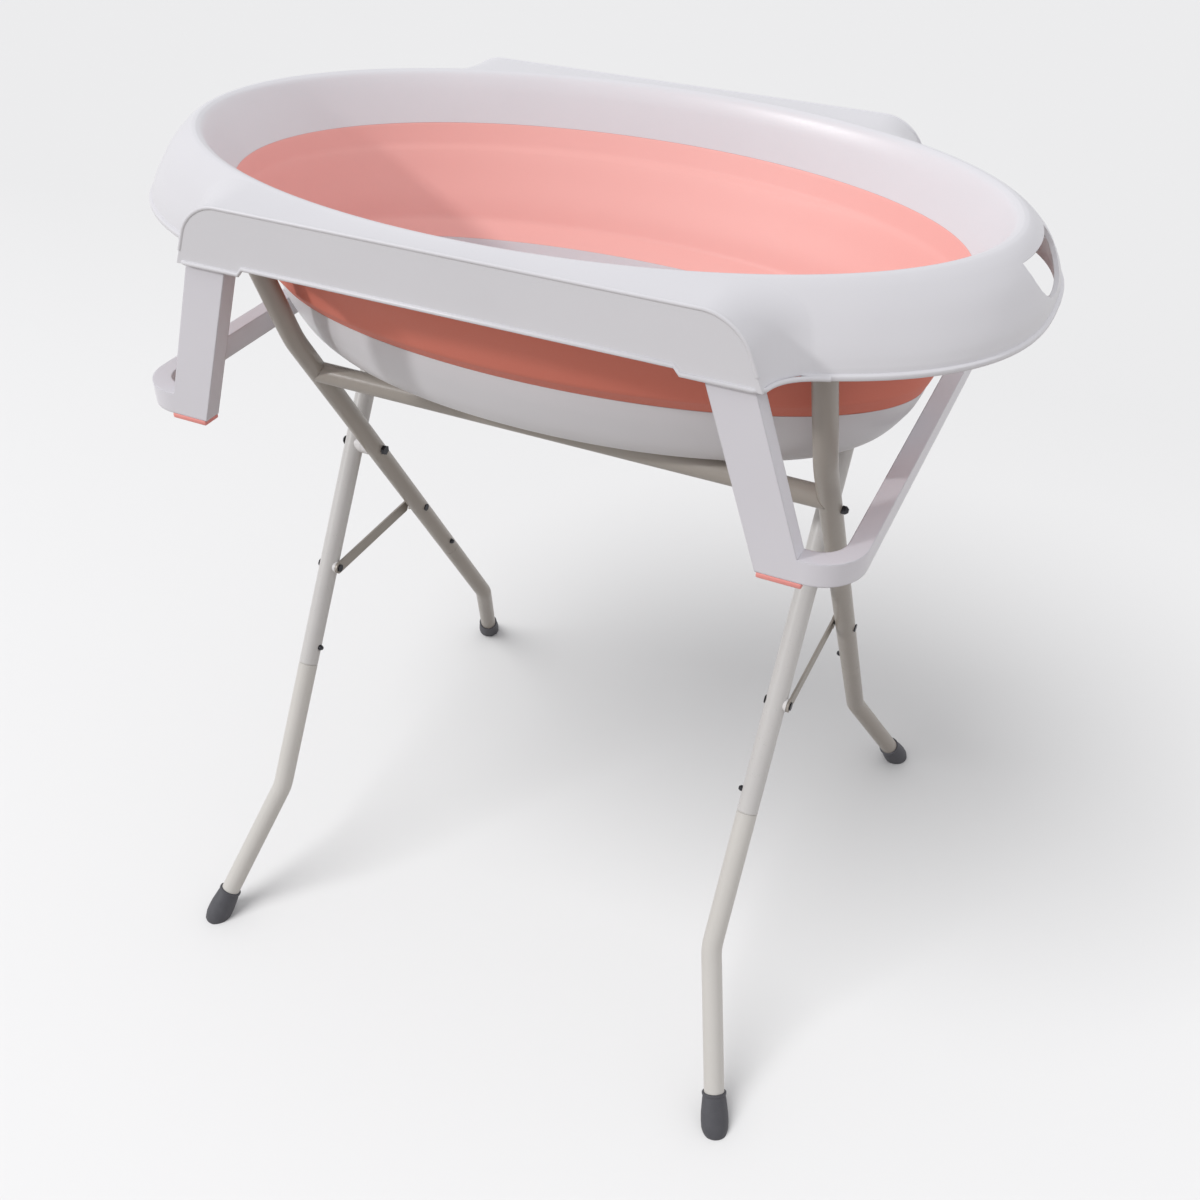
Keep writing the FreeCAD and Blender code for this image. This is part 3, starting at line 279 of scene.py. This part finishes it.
def oval_shell(mesh, rows):
    """A closed shell; the level above the last row falls back on the first.

    A row is half length, half width and height, and if need be a shift along X and a power.
    """
    verts = bmesh.ops.create_circle(mesh, segments=SIDES, radius=1)["verts"]
    edges = list({edge for vert in verts for edge in vert.link_edges})
    for _ in rows:
        grown = bmesh.ops.extrude_edge_only(mesh, edges=edges)["geom"]
        verts = [item for item in grown if isinstance(item, bmesh.types.BMVert)]
        edges = [item for item in grown if isinstance(item, bmesh.types.BMEdge)]
        bmesh.ops.translate(mesh, vec=(0, 0, 1), verts=verts)
    for vert in mesh.verts:
        row = rows[round(vert.co.z) % len(rows)]
        shift = row[3] if len(row) > 3 else 0
        power = row[4] if len(row) > 4 else ELLIPSE
        reach = (abs(vert.co.x) ** power + abs(vert.co.y) ** power) ** (-1 / power)
        vert.co = (shift + row[0] * reach * vert.co.x, row[1] * reach * vert.co.y, row[2])
    bmesh.ops.remove_doubles(mesh, verts=mesh.verts, dist=TOUCH)
    bmesh.ops.recalc_face_normals(mesh, faces=mesh.faces)


# %% A finished piece
def piece(mesh, name, material, body, nodes, sharp=40):
    """Turns a finished bmesh into a named piece that rides on a body and stands for solids."""
    data = bpy.data.meshes.new(name)
    mesh.to_mesh(data)
    mesh.free()
    data.materials.append(material)
    data.shade_smooth()
    data.set_sharp_from_angle(angle=math.radians(sharp))
    made = bpy.data.objects.new(name, data)
    bpy.context.scene.collection.objects.link(made)
    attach(made, body)
    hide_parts(*nodes)
    print(name, len(data.polygons), "faces")
    return made


# %% [markdown]
# ## The rim ring
# The white ring has a thin flange at its lip, a deep rounded skirt, a crest that rolls over, and an
# inner wall that runs down to the folding wall. One outline could be swept along an oval curve, but
# the skirt stands out further at the ends than at the sides, so ovals of their own size fit it better.
# It is a shell three millimetres thick, open below, so the rows go up the outside, over the crest,
# down the inside, and back under the skin. Behind the straight rails the skirt stops short, so there
# its edge is lifted to just above the rail's bottom.

# %% Rows of the rim ring
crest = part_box("upper_rim")[1].z
WALL = 0.003
flange_rows = [Vector(row) for row in (
    (0.440, 0.247, 0.838), (0.4405, 0.2475, 0.8392), (0.4405, 0.2475, 0.8416),
    (0.4398, 0.2468, 0.8424), (0.4374, 0.2444, 0.8429))]
skirt_rows = flow([(0.437, 0.244, 0.846), (0.4355, 0.2435, 0.855), (0.4315, 0.242, 0.866),
                   (0.4235, 0.2385, 0.8825), (0.4125, 0.2345, 0.8955), (0.4035, 0.2305, 0.902),
                   (0.3985, 0.227, crest)])
inner_rows = flow([(0.3985, 0.227, crest), (0.393, 0.222, 0.9005), (0.3885, 0.218, 0.894),
                   (0.383, 0.2145, 0.884), (0.366, 0.208, 0.853)])
behind_inner = [row + Vector((WALL, WALL, 0)) for row in reversed(inner_rows[FLOW_STEPS:])]
behind_skirt = [row - Vector((WALL, WALL, WALL)) for row in reversed(skirt_rows[:-FLOW_STEPS])]
under_lip = Vector((0.4335, 0.2405, 0.838))
print("skirt rows", len(skirt_rows), "inner rows", len(inner_rows))

# %% Rim ring
LIP_POWER = 2.5


def squareness(height):
    """The power of the skirt's oval at a height: an ellipse at the crest, squarer down at the lip."""
    drop = min((crest - height) / (crest - skirt_rows[0].z), 1)
    return ELLIPSE + (LIP_POWER - ELLIPSE) * drop


def squared(rows):
    """The rows with no shift and with the power for their height."""
    return [(*row, 0, squareness(row.z)) for row in rows]


ring_rows = squared(flange_rows + skirt_rows)
ring_rows += [tuple(row) for row in inner_rows[1:] + behind_inner]
ring_rows += squared(behind_skirt + [under_lip])
ring = bmesh.new()
oval_shell(ring, ring_rows)
RAIL_BOTTOM, TAB_BOTTOM, HIDDEN = 0.848, 0.842, 0.0015
TAB_START, RAIL_END = 0.2015, 0.286
for vert in ring.verts:
    if abs(vert.co.x) < RAIL_END:
        bottom = RAIL_BOTTOM if abs(vert.co.x) < TAB_START else TAB_BOTTOM
        vert.co.z = max(vert.co.z, bottom + HIDDEN)
print("rim rows", len(ring_rows), "faces", len(ring.faces))

# %% [markdown]
# ## The grip hole
# At one end a hand hole with a straight top and a bowed bottom goes through the skirt. A Boolean could
# cut it, but on a thin shell with many faces it tends to leave slivers that spoil the shading. Here
# planes cut the skin along the hole's outline, the faces inside are taken out, and the two cut edges,
# outer skin and inner skin, are bridged so that the hole shows the plastic's thickness.

# %% Planes around the grip hole
HOLE_TOP, HOLE_HALF, HOLE_DEPTH = 0.892, 0.045, 0.038
BOW_CUTS = 12
hole_planes = [(Vector((0, 0, HOLE_TOP)), Vector((0, 0, 1)))]
for cut in range(BOW_CUTS + 1):
    turn = math.pi * (cut / BOW_CUTS - 0.5)
    spot = Vector((0, HOLE_HALF * math.sin(turn), HOLE_TOP - HOLE_DEPTH * math.cos(turn)))
    away = Vector((0, HOLE_DEPTH * math.sin(turn), -HOLE_HALF * math.cos(turn)))
    hole_planes.append((spot, away.normalized()))
print("hole planes", len(hole_planes))

# %% Grip hole through the skirt
PATCH_X, PATCH_HALF = 0.39, 0.075
PATCH_BOTTOM, PATCH_TOP = HOLE_TOP - 0.055, HOLE_TOP + 0.009
SKIRT_X = 0.405


def near_hole(face):
    """Whether a face lies on the patch of the rim's end that the planes may cut."""
    middle = face.calc_center_median()
    level_with_hole = PATCH_BOTTOM < middle.z < PATCH_TOP
    return middle.x > PATCH_X and abs(middle.y) < PATCH_HALF and level_with_hole


def in_hole(face):
    """Whether a face of the skirt, on its outer or its inner skin, lies inside the hole's outline."""
    middle = face.calc_center_median()
    inside = all((middle - point).dot(away) < 0 for point, away in hole_planes)
    return middle.x > SKIRT_X and inside


for point, away in hole_planes:
    patch = [face for face in ring.faces if near_hole(face)]
    patch_edges = {edge for face in patch for edge in face.edges}
    patch_verts = {vert for face in patch for vert in face.verts}
    bmesh.ops.bisect_plane(ring, geom=[*patch, *patch_edges, *patch_verts], dist=TOUCH,
                           plane_co=point, plane_no=away)
cut_out = [face for face in ring.faces if near_hole(face) and in_hole(face)]
bmesh.ops.delete(ring, geom=cut_out, context="FACES")
rim_of_hole = [edge for edge in ring.edges if edge.is_boundary]
bmesh.ops.bridge_loops(ring, edges=rim_of_hole)
bmesh.ops.recalc_face_normals(ring, faces=ring.faces)
print("grip hole edges", len(rim_of_hole))

# %% [markdown]
# ## The straight rails
# Each long side carries a rail: a flat face with rounded top corners and a crisp edge, whose top runs
# into the crest and whose ends sweep round into the skirt. A plain bar set against the ring would be
# quicker, but it would leave a hard seam where the real moulding flows. So the face starts from eight
# corner points, the two top corners are bevelled, and then its edge is extruded back in steps. Every
# step moves the new edge part of the way to the ring, along a curve, so the two surfaces meet almost
# in line.

# %% Where a rail meets the ring
END_FROM, END_LENGTH = 0.218, 0.034
SWEEP, SWEEP_BEND = 0.034, 2.2
BULGE = 0.29
SUNK, BELOW_CREST = 0.001, 0.0006


def skirt_at(height):
    """Half length and half width of the skirt at a height."""
    rows = sorted(skirt_rows, key=lambda row: row.z)
    for lower, upper in zip(rows, rows[1:]):
        if lower.z <= height <= upper.z:
            share = (height - lower.z) / (upper.z - lower.z)
            return lower.lerp(upper, share).xy
    return rows[0].xy if height < rows[0].z else rows[-1].xy


def toward_ring(start, share):
    """A point of the rail's edge moved part of the way to the ring; ends sweep out along the skirt."""
    ending = min(max((abs(start.x) - END_FROM) / END_LENGTH, 0), 1)
    ending = ending * ending * (3 - 2 * ending)  # starts and stops gently
    height = start.z + (crest - BELOW_CREST - start.z) * (1 - ending)
    half_length, half_width = skirt_at(height)
    reach = abs(start.x) + SWEEP * ending
    power = squareness(height)
    meet = (half_width - SUNK) * (1 - (reach / (half_length - SUNK)) ** power) ** (1 / power)
    along = abs(start.x) + SWEEP * ending * share ** SWEEP_BEND
    back = start.y + (-meet - start.y) * share * (1 + BULGE * (1 - share))
    rise = start.z + (height - start.z) * share ** 2
    return Vector((math.copysign(along, start.x), back, rise))


# %% The face of a rail
FACE_Y, TOP = -0.25, 0.9
STEP_IN, STEP_OUT, FOOT_X, HEAD_X = 0.199, 0.204, 0.27, 0.247
CORNER_ROUND, STEEP = 0.029, 0.02
TOP_CUTS, END_CUTS = 40, 6
half_face = [(STEP_IN, RAIL_BOTTOM), (STEP_OUT, TAB_BOTTOM), (FOOT_X, TAB_BOTTOM), (HEAD_X, TOP)]
other_half = [(-x, z) for x, z in reversed(half_face)]
rail = bmesh.new()
rail.faces.new([rail.verts.new((x, FACE_Y, z)) for x, z in other_half[-1:] + half_face + other_half[:-1]])
top_corners = [vert for vert in rail.verts if vert.co.z > TOP - TOUCH]
bmesh.ops.bevel(rail, geom=top_corners, offset=CORNER_ROUND, offset_type="OFFSET", segments=12,
                profile=0.5, affect="VERTICES", material=-1)
top_edge = max(rail.edges, key=lambda edge: edge.calc_length())
ends = [edge for edge in rail.edges if abs(edge.verts[0].co.z - edge.verts[1].co.z) > STEEP]
bmesh.ops.subdivide_edges(rail, edges=[top_edge], cuts=TOP_CUTS)
for end in ends:  # one at a time, because cutting both at once would also split the face
    bmesh.ops.subdivide_edges(rail, edges=[end], cuts=END_CUTS)
print("face corners", [len(face.verts) for face in rail.faces])

# %% The rail's edge drawn back to the ring
FIRST, STEPS = 0.18, 13
OUTER_X = 0.25


def runs_back(edge):
    """Whether an edge of the face is drawn back: all but the bottom between the two tabs."""
    highest = max(vert.co.z for vert in edge.verts)
    return highest > RAIL_BOTTOM + TOUCH or min(abs(vert.co.x) for vert in edge.verts) > OUTER_X


wrap = [edge for edge in rail.edges if runs_back(edge)]
starts = {}
for step in range(STEPS):
    grown = bmesh.ops.extrude_edge_only(rail, edges=wrap)["geom"]
    fresh = [item for item in grown if isinstance(item, bmesh.types.BMVert)]
    wrap = [item for item in grown if isinstance(item, bmesh.types.BMEdge)]
    for vert in fresh:
        neighbours = [edge.other_vert(vert) for edge in vert.link_edges]
        behind = next(other for other in neighbours if other not in fresh)
        starts[vert] = starts.get(behind, behind.co.copy())
        vert.co = toward_ring(starts[vert], FIRST + (1 - FIRST) * step / (STEPS - 1))
print("rail shell", len(rail.faces), "faces")

# %% [markdown]
# ## Brow, lip and the twin rail
# The open skin of the rail gets its thickness inwards. A thin brow runs along the top edge of the
# face, and a lip along the bottom, which stiffens the moulding and flows on into the ring's flange.
# Both are round beads. A curve object with a round bevel would look the same, but these have to join
# the moulding's mesh, so one small circle is extruded from point to point, and turned with the path
# each time. The back rail is the front one turned half round, which keeps every face pointing the
# right way. Ring, rails and beads go into one mesh, as one moulding.

# %% A round bead along a path
BEAD_SIDES = 10


def bead(mesh, path, radius):
    """Sweeps a small circle along a path and closes both ends."""
    befores = [path[0], *path[:-1]]
    afters = [*path[1:], path[-1]]
    headings = [(after - before).normalized() for before, after in zip(befores, afters)]
    upright = Vector((0, 0, 1)).rotation_difference(headings[0]).to_matrix().to_4x4()
    verts = bmesh.ops.create_circle(mesh, segments=BEAD_SIDES, radius=radius,
                                    matrix=Matrix.Translation(path[0]) @ upright)["verts"]
    first = list({edge for vert in verts for edge in vert.link_edges})
    edges = first
    for index in range(1, len(path)):
        grown = bmesh.ops.extrude_edge_only(mesh, edges=edges)["geom"]
        verts = [item for item in grown if isinstance(item, bmesh.types.BMVert)]
        edges = [item for item in grown if isinstance(item, bmesh.types.BMEdge)]
        turn = headings[index - 1].rotation_difference(headings[index]).to_matrix()
        bmesh.ops.rotate(mesh, cent=path[index - 1], matrix=turn, verts=verts)
        bmesh.ops.translate(mesh, vec=path[index] - path[index - 1], verts=verts)
    for loop in (first, edges):
        bmesh.ops.edgeloop_fill(mesh, edges=loop)


# %% Thickness and brow of the rail
RAIL_WALL = 0.0025
BROW, BROW_FROM = 0.0019, TAB_BOTTOM + 0.012
bmesh.ops.recalc_face_normals(rail, faces=rail.faces)
flat = next(face for face in rail.faces if all(abs(vert.co.y - FACE_Y) < TOUCH for vert in face.verts))
if flat.normal.y > 0:
    bmesh.ops.reverse_faces(rail, faces=rail.faces)
brow = sorted(tuple(vert.co) for vert in flat.verts if vert.co.z > BROW_FROM)
rail.normal_update()
bmesh.ops.solidify(rail, geom=rail.faces[:], thickness=RAIL_WALL)
bead(rail, [Vector(spot) + Vector((0, BROW / 2, -BROW / 2)) for spot in brow], BROW)
print("brow points", len(brow))

# %% Lip of the rail
LIP, LIP_RISE = 0.0021, Vector((0, 0, 0.0014))
LIP_STEPS = 12
SAME, TO_FLANGE = Vector((1, 1, 1)), Vector((1.01, 1.0177, 0.9958))
BEFORE_CORNER = 0.262
corner = Vector((FOOT_X, FACE_Y, TAB_BOTTOM))
right_lip = [Vector((STEP_IN, FACE_Y, RAIL_BOTTOM)), Vector((STEP_OUT, FACE_Y, TAB_BOTTOM)),
             Vector((BEFORE_CORNER, FACE_Y, TAB_BOTTOM))]
for step in range(1, LIP_STEPS + 1):
    share = step / LIP_STEPS
    right_lip.append(toward_ring(corner, share) * SAME.lerp(TO_FLANGE, share))
left_lip = [Vector((-spot.x, spot.y, spot.z)) for spot in reversed(right_lip)]
bead(rail, [spot + LIP_RISE for spot in left_lip + right_lip], LIP)
bmesh.ops.recalc_face_normals(rail, faces=rail.faces)
print("lip points", len(left_lip + right_lip))

# %% Ring and both rails as one moulding
rail_data = bpy.data.meshes.new("rail_work")
rail.to_mesh(rail_data)
rail.free()
for half_turn in (0, math.pi):
    known = set(ring.verts)
    ring.from_mesh(rail_data)
    fresh = [vert for vert in ring.verts if vert not in known]
    bmesh.ops.rotate(ring, cent=(0, 0, 0), matrix=Matrix.Rotation(half_turn, 3, "Z"), verts=fresh)
bpy.data.meshes.remove(rail_data)
piece(ring, "rim_moulding", rim_white, "tub", ["upper_rim"], sharp=50)

# %% [markdown]
# ## The folding wall
# Between rim and basin sits the coral wall. It folds flat when the basin is pushed up, so it has an
# upper band that hangs almost straight, a fold line, a sloping middle, and a lower fold above a
# narrow ledge. Shape keys could fold it, but they would have to be keyed to the basin by hand; here
# it is a shell that rides on the tub's body in the place of the wall's solid. Its outer faces get a
# second material slot: a rougher coral whose darker, deeper colour is painted shade from the rim above.

# %% Rows of the folding wall
wall_low, wall_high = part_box("bellows_wall")
SKIN = 0.0024
TUCKED_UP, TUCKED_DOWN = 0.0016, 0.0006
wall_inside = [Vector((0.3672, 0.2092, wall_high.z + TUCKED_UP))]
wall_inside += flow([(0.366, 0.208, wall_high.z), (0.3647, 0.2042, 0.843), (0.3632, 0.2, 0.8325)], 4)
wall_inside += flow([(0.3632, 0.2, 0.8325), (0.3613, 0.195, 0.8255), (0.357, 0.184, 0.803),
                     (0.352, 0.172, 0.78), (0.349, 0.164, 0.76)], 5)[1:]
wall_inside += flow([(0.349, 0.164, 0.76), (0.3465, 0.1565, 0.7535),
                     (0.342, 0.147, wall_low.z - TUCKED_DOWN)], 4)[1:]
wall_outside = [row + Vector((SKIN, SKIN, 0)) for row in wall_inside]
print("wall rows", len(wall_outside + wall_inside))

# %% Folding wall
soft = bmesh.new()
oval_shell(soft, wall_outside + wall_inside[::-1])
folding_wall = piece(soft, "folding_wall", coral, "tub", ["bellows_wall"], sharp=60)
folding_wall.data.materials.append(coral_painted_shade)
# Faces that look outwards, into the shade under the rim, take the second slot: painted shade.
for face in folding_wall.data.polygons:
    face.material_index = int(face.normal.xy.dot(face.center.xy) > 0)
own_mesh(folding_wall)

# %% [markdown]
# ## The basin
# The rigid white basin is a shallow bowl with a soft turn at its foot and a flat floor. A single skin
# with a Solidify modifier would do for the bowl, but the drain hole would still have to be cut. So the
# rows run down the outside to the floor, in to the drain hole, up through the floor's thickness, out
# again and up the inside, and one closed shell has both skins and the hole.

# %% Basin
basin_low, basin_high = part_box("basin")
DRAIN_X, DRAIN = 0.2, 0.0194
floor_under, floor_over = basin_low.z, basin_low.z + WALL
bowl = flow([(0.345, 0.15, basin_high.z), (0.3415, 0.1485, 0.7335), (0.336, 0.146, 0.7215),
             (0.319, 0.1385, 0.698), (0.3, 0.13, 0.6835), (0.288, 0.1245, 0.679),
             (0.28, 0.121, basin_low.z)], 5)
bowl_inside = []
for row in bowl:
    depth_share = (basin_high.z - row.z) / (basin_high.z - basin_low.z)
    bowl_inside.append(row + Vector((-WALL, -WALL, WALL * depth_share)))
floor_rows = [(0.275, 0.117, floor_under), (DRAIN, DRAIN, floor_under, DRAIN_X),
              (DRAIN, DRAIN, floor_over, DRAIN_X), (0.272, 0.114, floor_over)]
bath_floor = bmesh.new()
oval_shell(bath_floor, [*bowl, *floor_rows, *bowl_inside[::-1]])
piece(bath_floor, "basin_moulding", rim_white, "basin", ["basin"])

# %% [markdown]
# ## The rubber feet
# Each splayed leg ends in an egg-shaped rubber cap with a thin lip at its neck. A stretched sphere
# would come close, but it has no lip and no hollow for the tube. So a half outline is spun about the
# leg's axis, moved to the leg's end, and then cut level where it stands on the floor.

# %% Measures of the feet
LEAN, SPLAY = math.radians(31.7), math.radians(15.7)
SOLE = 0.0002
SPIN_STEPS = 48
# Radius and height of the half outline, from the sole up, over the lip and down the inside.
FOOT_PROFILE = [(0.0075, -0.011), (0.0125, -0.0055), (0.0146, 0.003), (0.015, 0.011), (0.0147, 0.019),
                (0.014, 0.026), (0.0131, 0.034), (0.0124, 0.0385), (0.0132, 0.0392), (0.0133, 0.0412),
                (0.0126, 0.042), (0.0111, 0.042), (0.0111, 0.012), (0, 0.012)]
# Where each leg's axis meets the floor, and the side it splays to.
FEET = {"outer_left_foot": (-0.3456, -0.323, -1), "outer_right_foot": (0.3176, -0.323, 1),
        "inner_left_foot": (-0.3176, 0.323, -1), "inner_right_foot": (0.3456, 0.323, 1)}
print("feet", len(FEET))

# %% Rubber feet
for node, (foot_x, foot_y, way) in FEET.items():
    cap = bmesh.new()
    dots = [cap.verts.new((radius, 0, height)) for radius, height in FOOT_PROFILE]
    lines = [cap.edges.new(pair) for pair in zip(dots, dots[1:])]
    bmesh.ops.spin(cap, geom=dots + lines, cent=(0, 0, 0), axis=(0, 0, 1), angle=2 * math.pi,
                   steps=SPIN_STEPS, use_merge=True)
    bmesh.ops.remove_doubles(cap, verts=cap.verts, dist=TOUCH)
    up_the_leg = Vector((-way * math.sin(SPLAY),
                         -math.copysign(math.cos(SPLAY) * math.sin(LEAN), foot_y),
                         math.cos(SPLAY) * math.cos(LEAN)))
    turn = Vector((0, 0, 1)).rotation_difference(up_the_leg).to_matrix().to_4x4()
    bmesh.ops.transform(cap, matrix=Matrix.Translation((foot_x, foot_y, 0)) @ turn, verts=cap.verts)
    bmesh.ops.bisect_plane(cap, geom=cap.verts[:] + cap.edges[:] + cap.faces[:], dist=TOUCH,
                           plane_co=(0, 0, SOLE), plane_no=(0, 0, -1), clear_outer=True)
    sole = [edge for edge in cap.edges
            if edge.is_boundary and all(vert.co.z < SOLE * 2 for vert in edge.verts)]
    bmesh.ops.edgeloop_fill(cap, edges=sole)
    bmesh.ops.recalc_face_normals(cap, faces=cap.faces)
    body = node.split("_")[0] + "_frame"
    piece(cap, node.replace("foot", "rubber_cap"), foot_rubber, body, [node])

# %% [markdown]
# ## The anti-slip pads
# A coral pad sits under each arm of the tub's own legs. Each starts as a cube that takes the solid's
# size, has its edges rounded, and gets a sunk panel on its sole, where a real pad has its tread. A
# Bevel modifier could round it as well, but the panel is inset after the rounding, so both are done
# with operators, in that order.

# %% Anti-slip pads
PAD_DEPTH, PAD_ROUND = 0.0195, 0.0014
TREAD_EDGE, TREAD_SUNK = 0.003, 0.0008
SOLE_AREA, FACING_DOWN = 1e-4, -0.9
for side in ("left", "right"):
    node = f"{side}_leg_pads"
    low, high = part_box(node)
    pads = bmesh.new()
    for way in (-1, 1):
        middle = Vector(((low.x + high.x) / 2, way * (high.y - PAD_DEPTH / 2), (low.z + high.z) / 2))
        block = bmesh.ops.create_cube(pads, size=1)["verts"]
        bmesh.ops.scale(pads, vec=(high.x - low.x, PAD_DEPTH, high.z - low.z), verts=block)
        bmesh.ops.translate(pads, vec=middle, verts=block)
        edges = list({edge for vert in block for edge in vert.link_edges})
        bmesh.ops.bevel(pads, geom=edges, offset=PAD_ROUND, offset_type="OFFSET", segments=3,
                        profile=0.5, affect="EDGES", material=-1)
    soles = [face for face in pads.faces
             if face.normal.z < FACING_DOWN and face.calc_area() > SOLE_AREA]
    bmesh.ops.inset_individual(pads, faces=soles, thickness=TREAD_EDGE, depth=-TREAD_SUNK)
    piece(pads, f"{side}_tread_pads", pad_coral, f"{side}_leg", [node])

# %% [markdown]
# ## Floor
# The picture shows a pale, seamless studio floor that fades a little towards the back; the fade is a
# painted fall-off of light. Strong lamps could bleach it, but they would bleach the white plastic as
# well, so the floor is simply pale where the camera or a reflection sees it. For the light that
# bounces up it is a duller grey-brown, so that the underside of the tub stays in a warm shade.

# %% Floor finish
# Paler near the camera and greyer towards the back: a painted fall-off of light.
NEAR_Y, FAR_Y = -0.6, 1.5
near_pale, far_pale, bounce = linear("D4D4D4"), linear("C8C8C8"), linear("7F7973")
stage_grey = bpy.data.materials.new("studio_floor_pale")
stage_grey.use_nodes = True
tree = stage_grey.node_tree
shader = tree.nodes["Principled BSDF"]
shader.inputs["Roughness"].default_value = 0.9
shader.inputs["Specular IOR Level"].default_value = 0.1
rays = put(tree, "ShaderNodeLightPath", {}).outputs
mirrored = put(tree, "ShaderNodeMath", {0: rays["Is Glossy Ray"], 1: rays["Is Transmission Ray"]},
               operation="MAXIMUM")
seen = put(tree, "ShaderNodeMath", {0: rays["Is Camera Ray"], 1: mirrored.outputs[0]},
           operation="MAXIMUM")
place = put(tree, "ShaderNodeTexCoord", {}).outputs["Object"]
depth = put(tree, "ShaderNodeSeparateXYZ", {0: place}).outputs["Y"]
far = put(tree, "ShaderNodeMapRange", {"Value": depth, "From Min": NEAR_Y, "From Max": FAR_Y})
pale = put(tree, "ShaderNodeMix", {0: far.outputs[0], 6: near_pale, 7: far_pale}, data_type="RGBA")
tint = put(tree, "ShaderNodeMix", {0: seen.outputs[0], 6: bounce, 7: pale.outputs[2]}, data_type="RGBA")
tree.links.new(tint.outputs[2], shader.inputs["Base Color"])
print("floor nodes", len(tree.nodes))

# %% Floor
FLOOR_HALF = 30
ground = bmesh.new()
bmesh.ops.create_grid(ground, x_segments=2, y_segments=2, size=FLOOR_HALF)
ground_data = bpy.data.meshes.new("studio_floor")
ground.to_mesh(ground_data)
ground.free()
ground_data.materials.append(stage_grey)
studio_floor = bpy.data.objects.new("studio_floor", ground_data)
bpy.context.scene.collection.objects.link(studio_floor)
print("floor", [round(side, 2) for side in studio_floor.dimensions])

# %% [markdown]
# ## Light
# A low sun from the front left gives the shade inside the tub and on the right end, and an even sky
# fills the rest. On the floor, though, the picture has only a broad soft shadow, as under a large
# softbox. Light linking lets a lamp choose what it lights, so the sun leaves the floor out, and the
# softbox lights the floor alone, while the bath still blocks its light.

# %% Sky and lamps
SKY_STRENGTH = 0.88
world = bpy.data.worlds.new("studio_sky")
world.use_nodes = True
sky = world.node_tree.nodes["Background"]
sky.inputs["Color"].default_value = linear("F7F7F9")
sky.inputs["Strength"].default_value = SKY_STRENGTH
bpy.context.scene.world = world


def sunlight(name, energy, spread, heading, floor_state):
    """A distant lamp that lights either only the floor, or everything but the floor."""
    light = bpy.data.lights.new(name, "SUN")
    light.energy = energy
    light.angle = math.radians(spread)
    lamp = bpy.data.objects.new(name, light)
    lamp.rotation_euler = Vector(heading).to_track_quat("-Z", "Y").to_euler()
    bpy.context.scene.collection.objects.link(lamp)
    chosen = bpy.data.collections.new(name + "_receivers")
    chosen.objects.link(studio_floor)
    chosen.collection_objects[0].light_linking.link_state = floor_state
    lamp.light_linking.receiver_collection = chosen
    print(name, energy)


sunlight("window_light", energy=1.1, spread=4, heading=(0.65, 0.58, -0.49), floor_state="EXCLUDE")
sunlight("floor_softbox", energy=2.3, spread=34, heading=(0.23, 0.40, -0.80), floor_state="INCLUDE")
bpy.context.scene.view_settings.view_transform = "Standard"
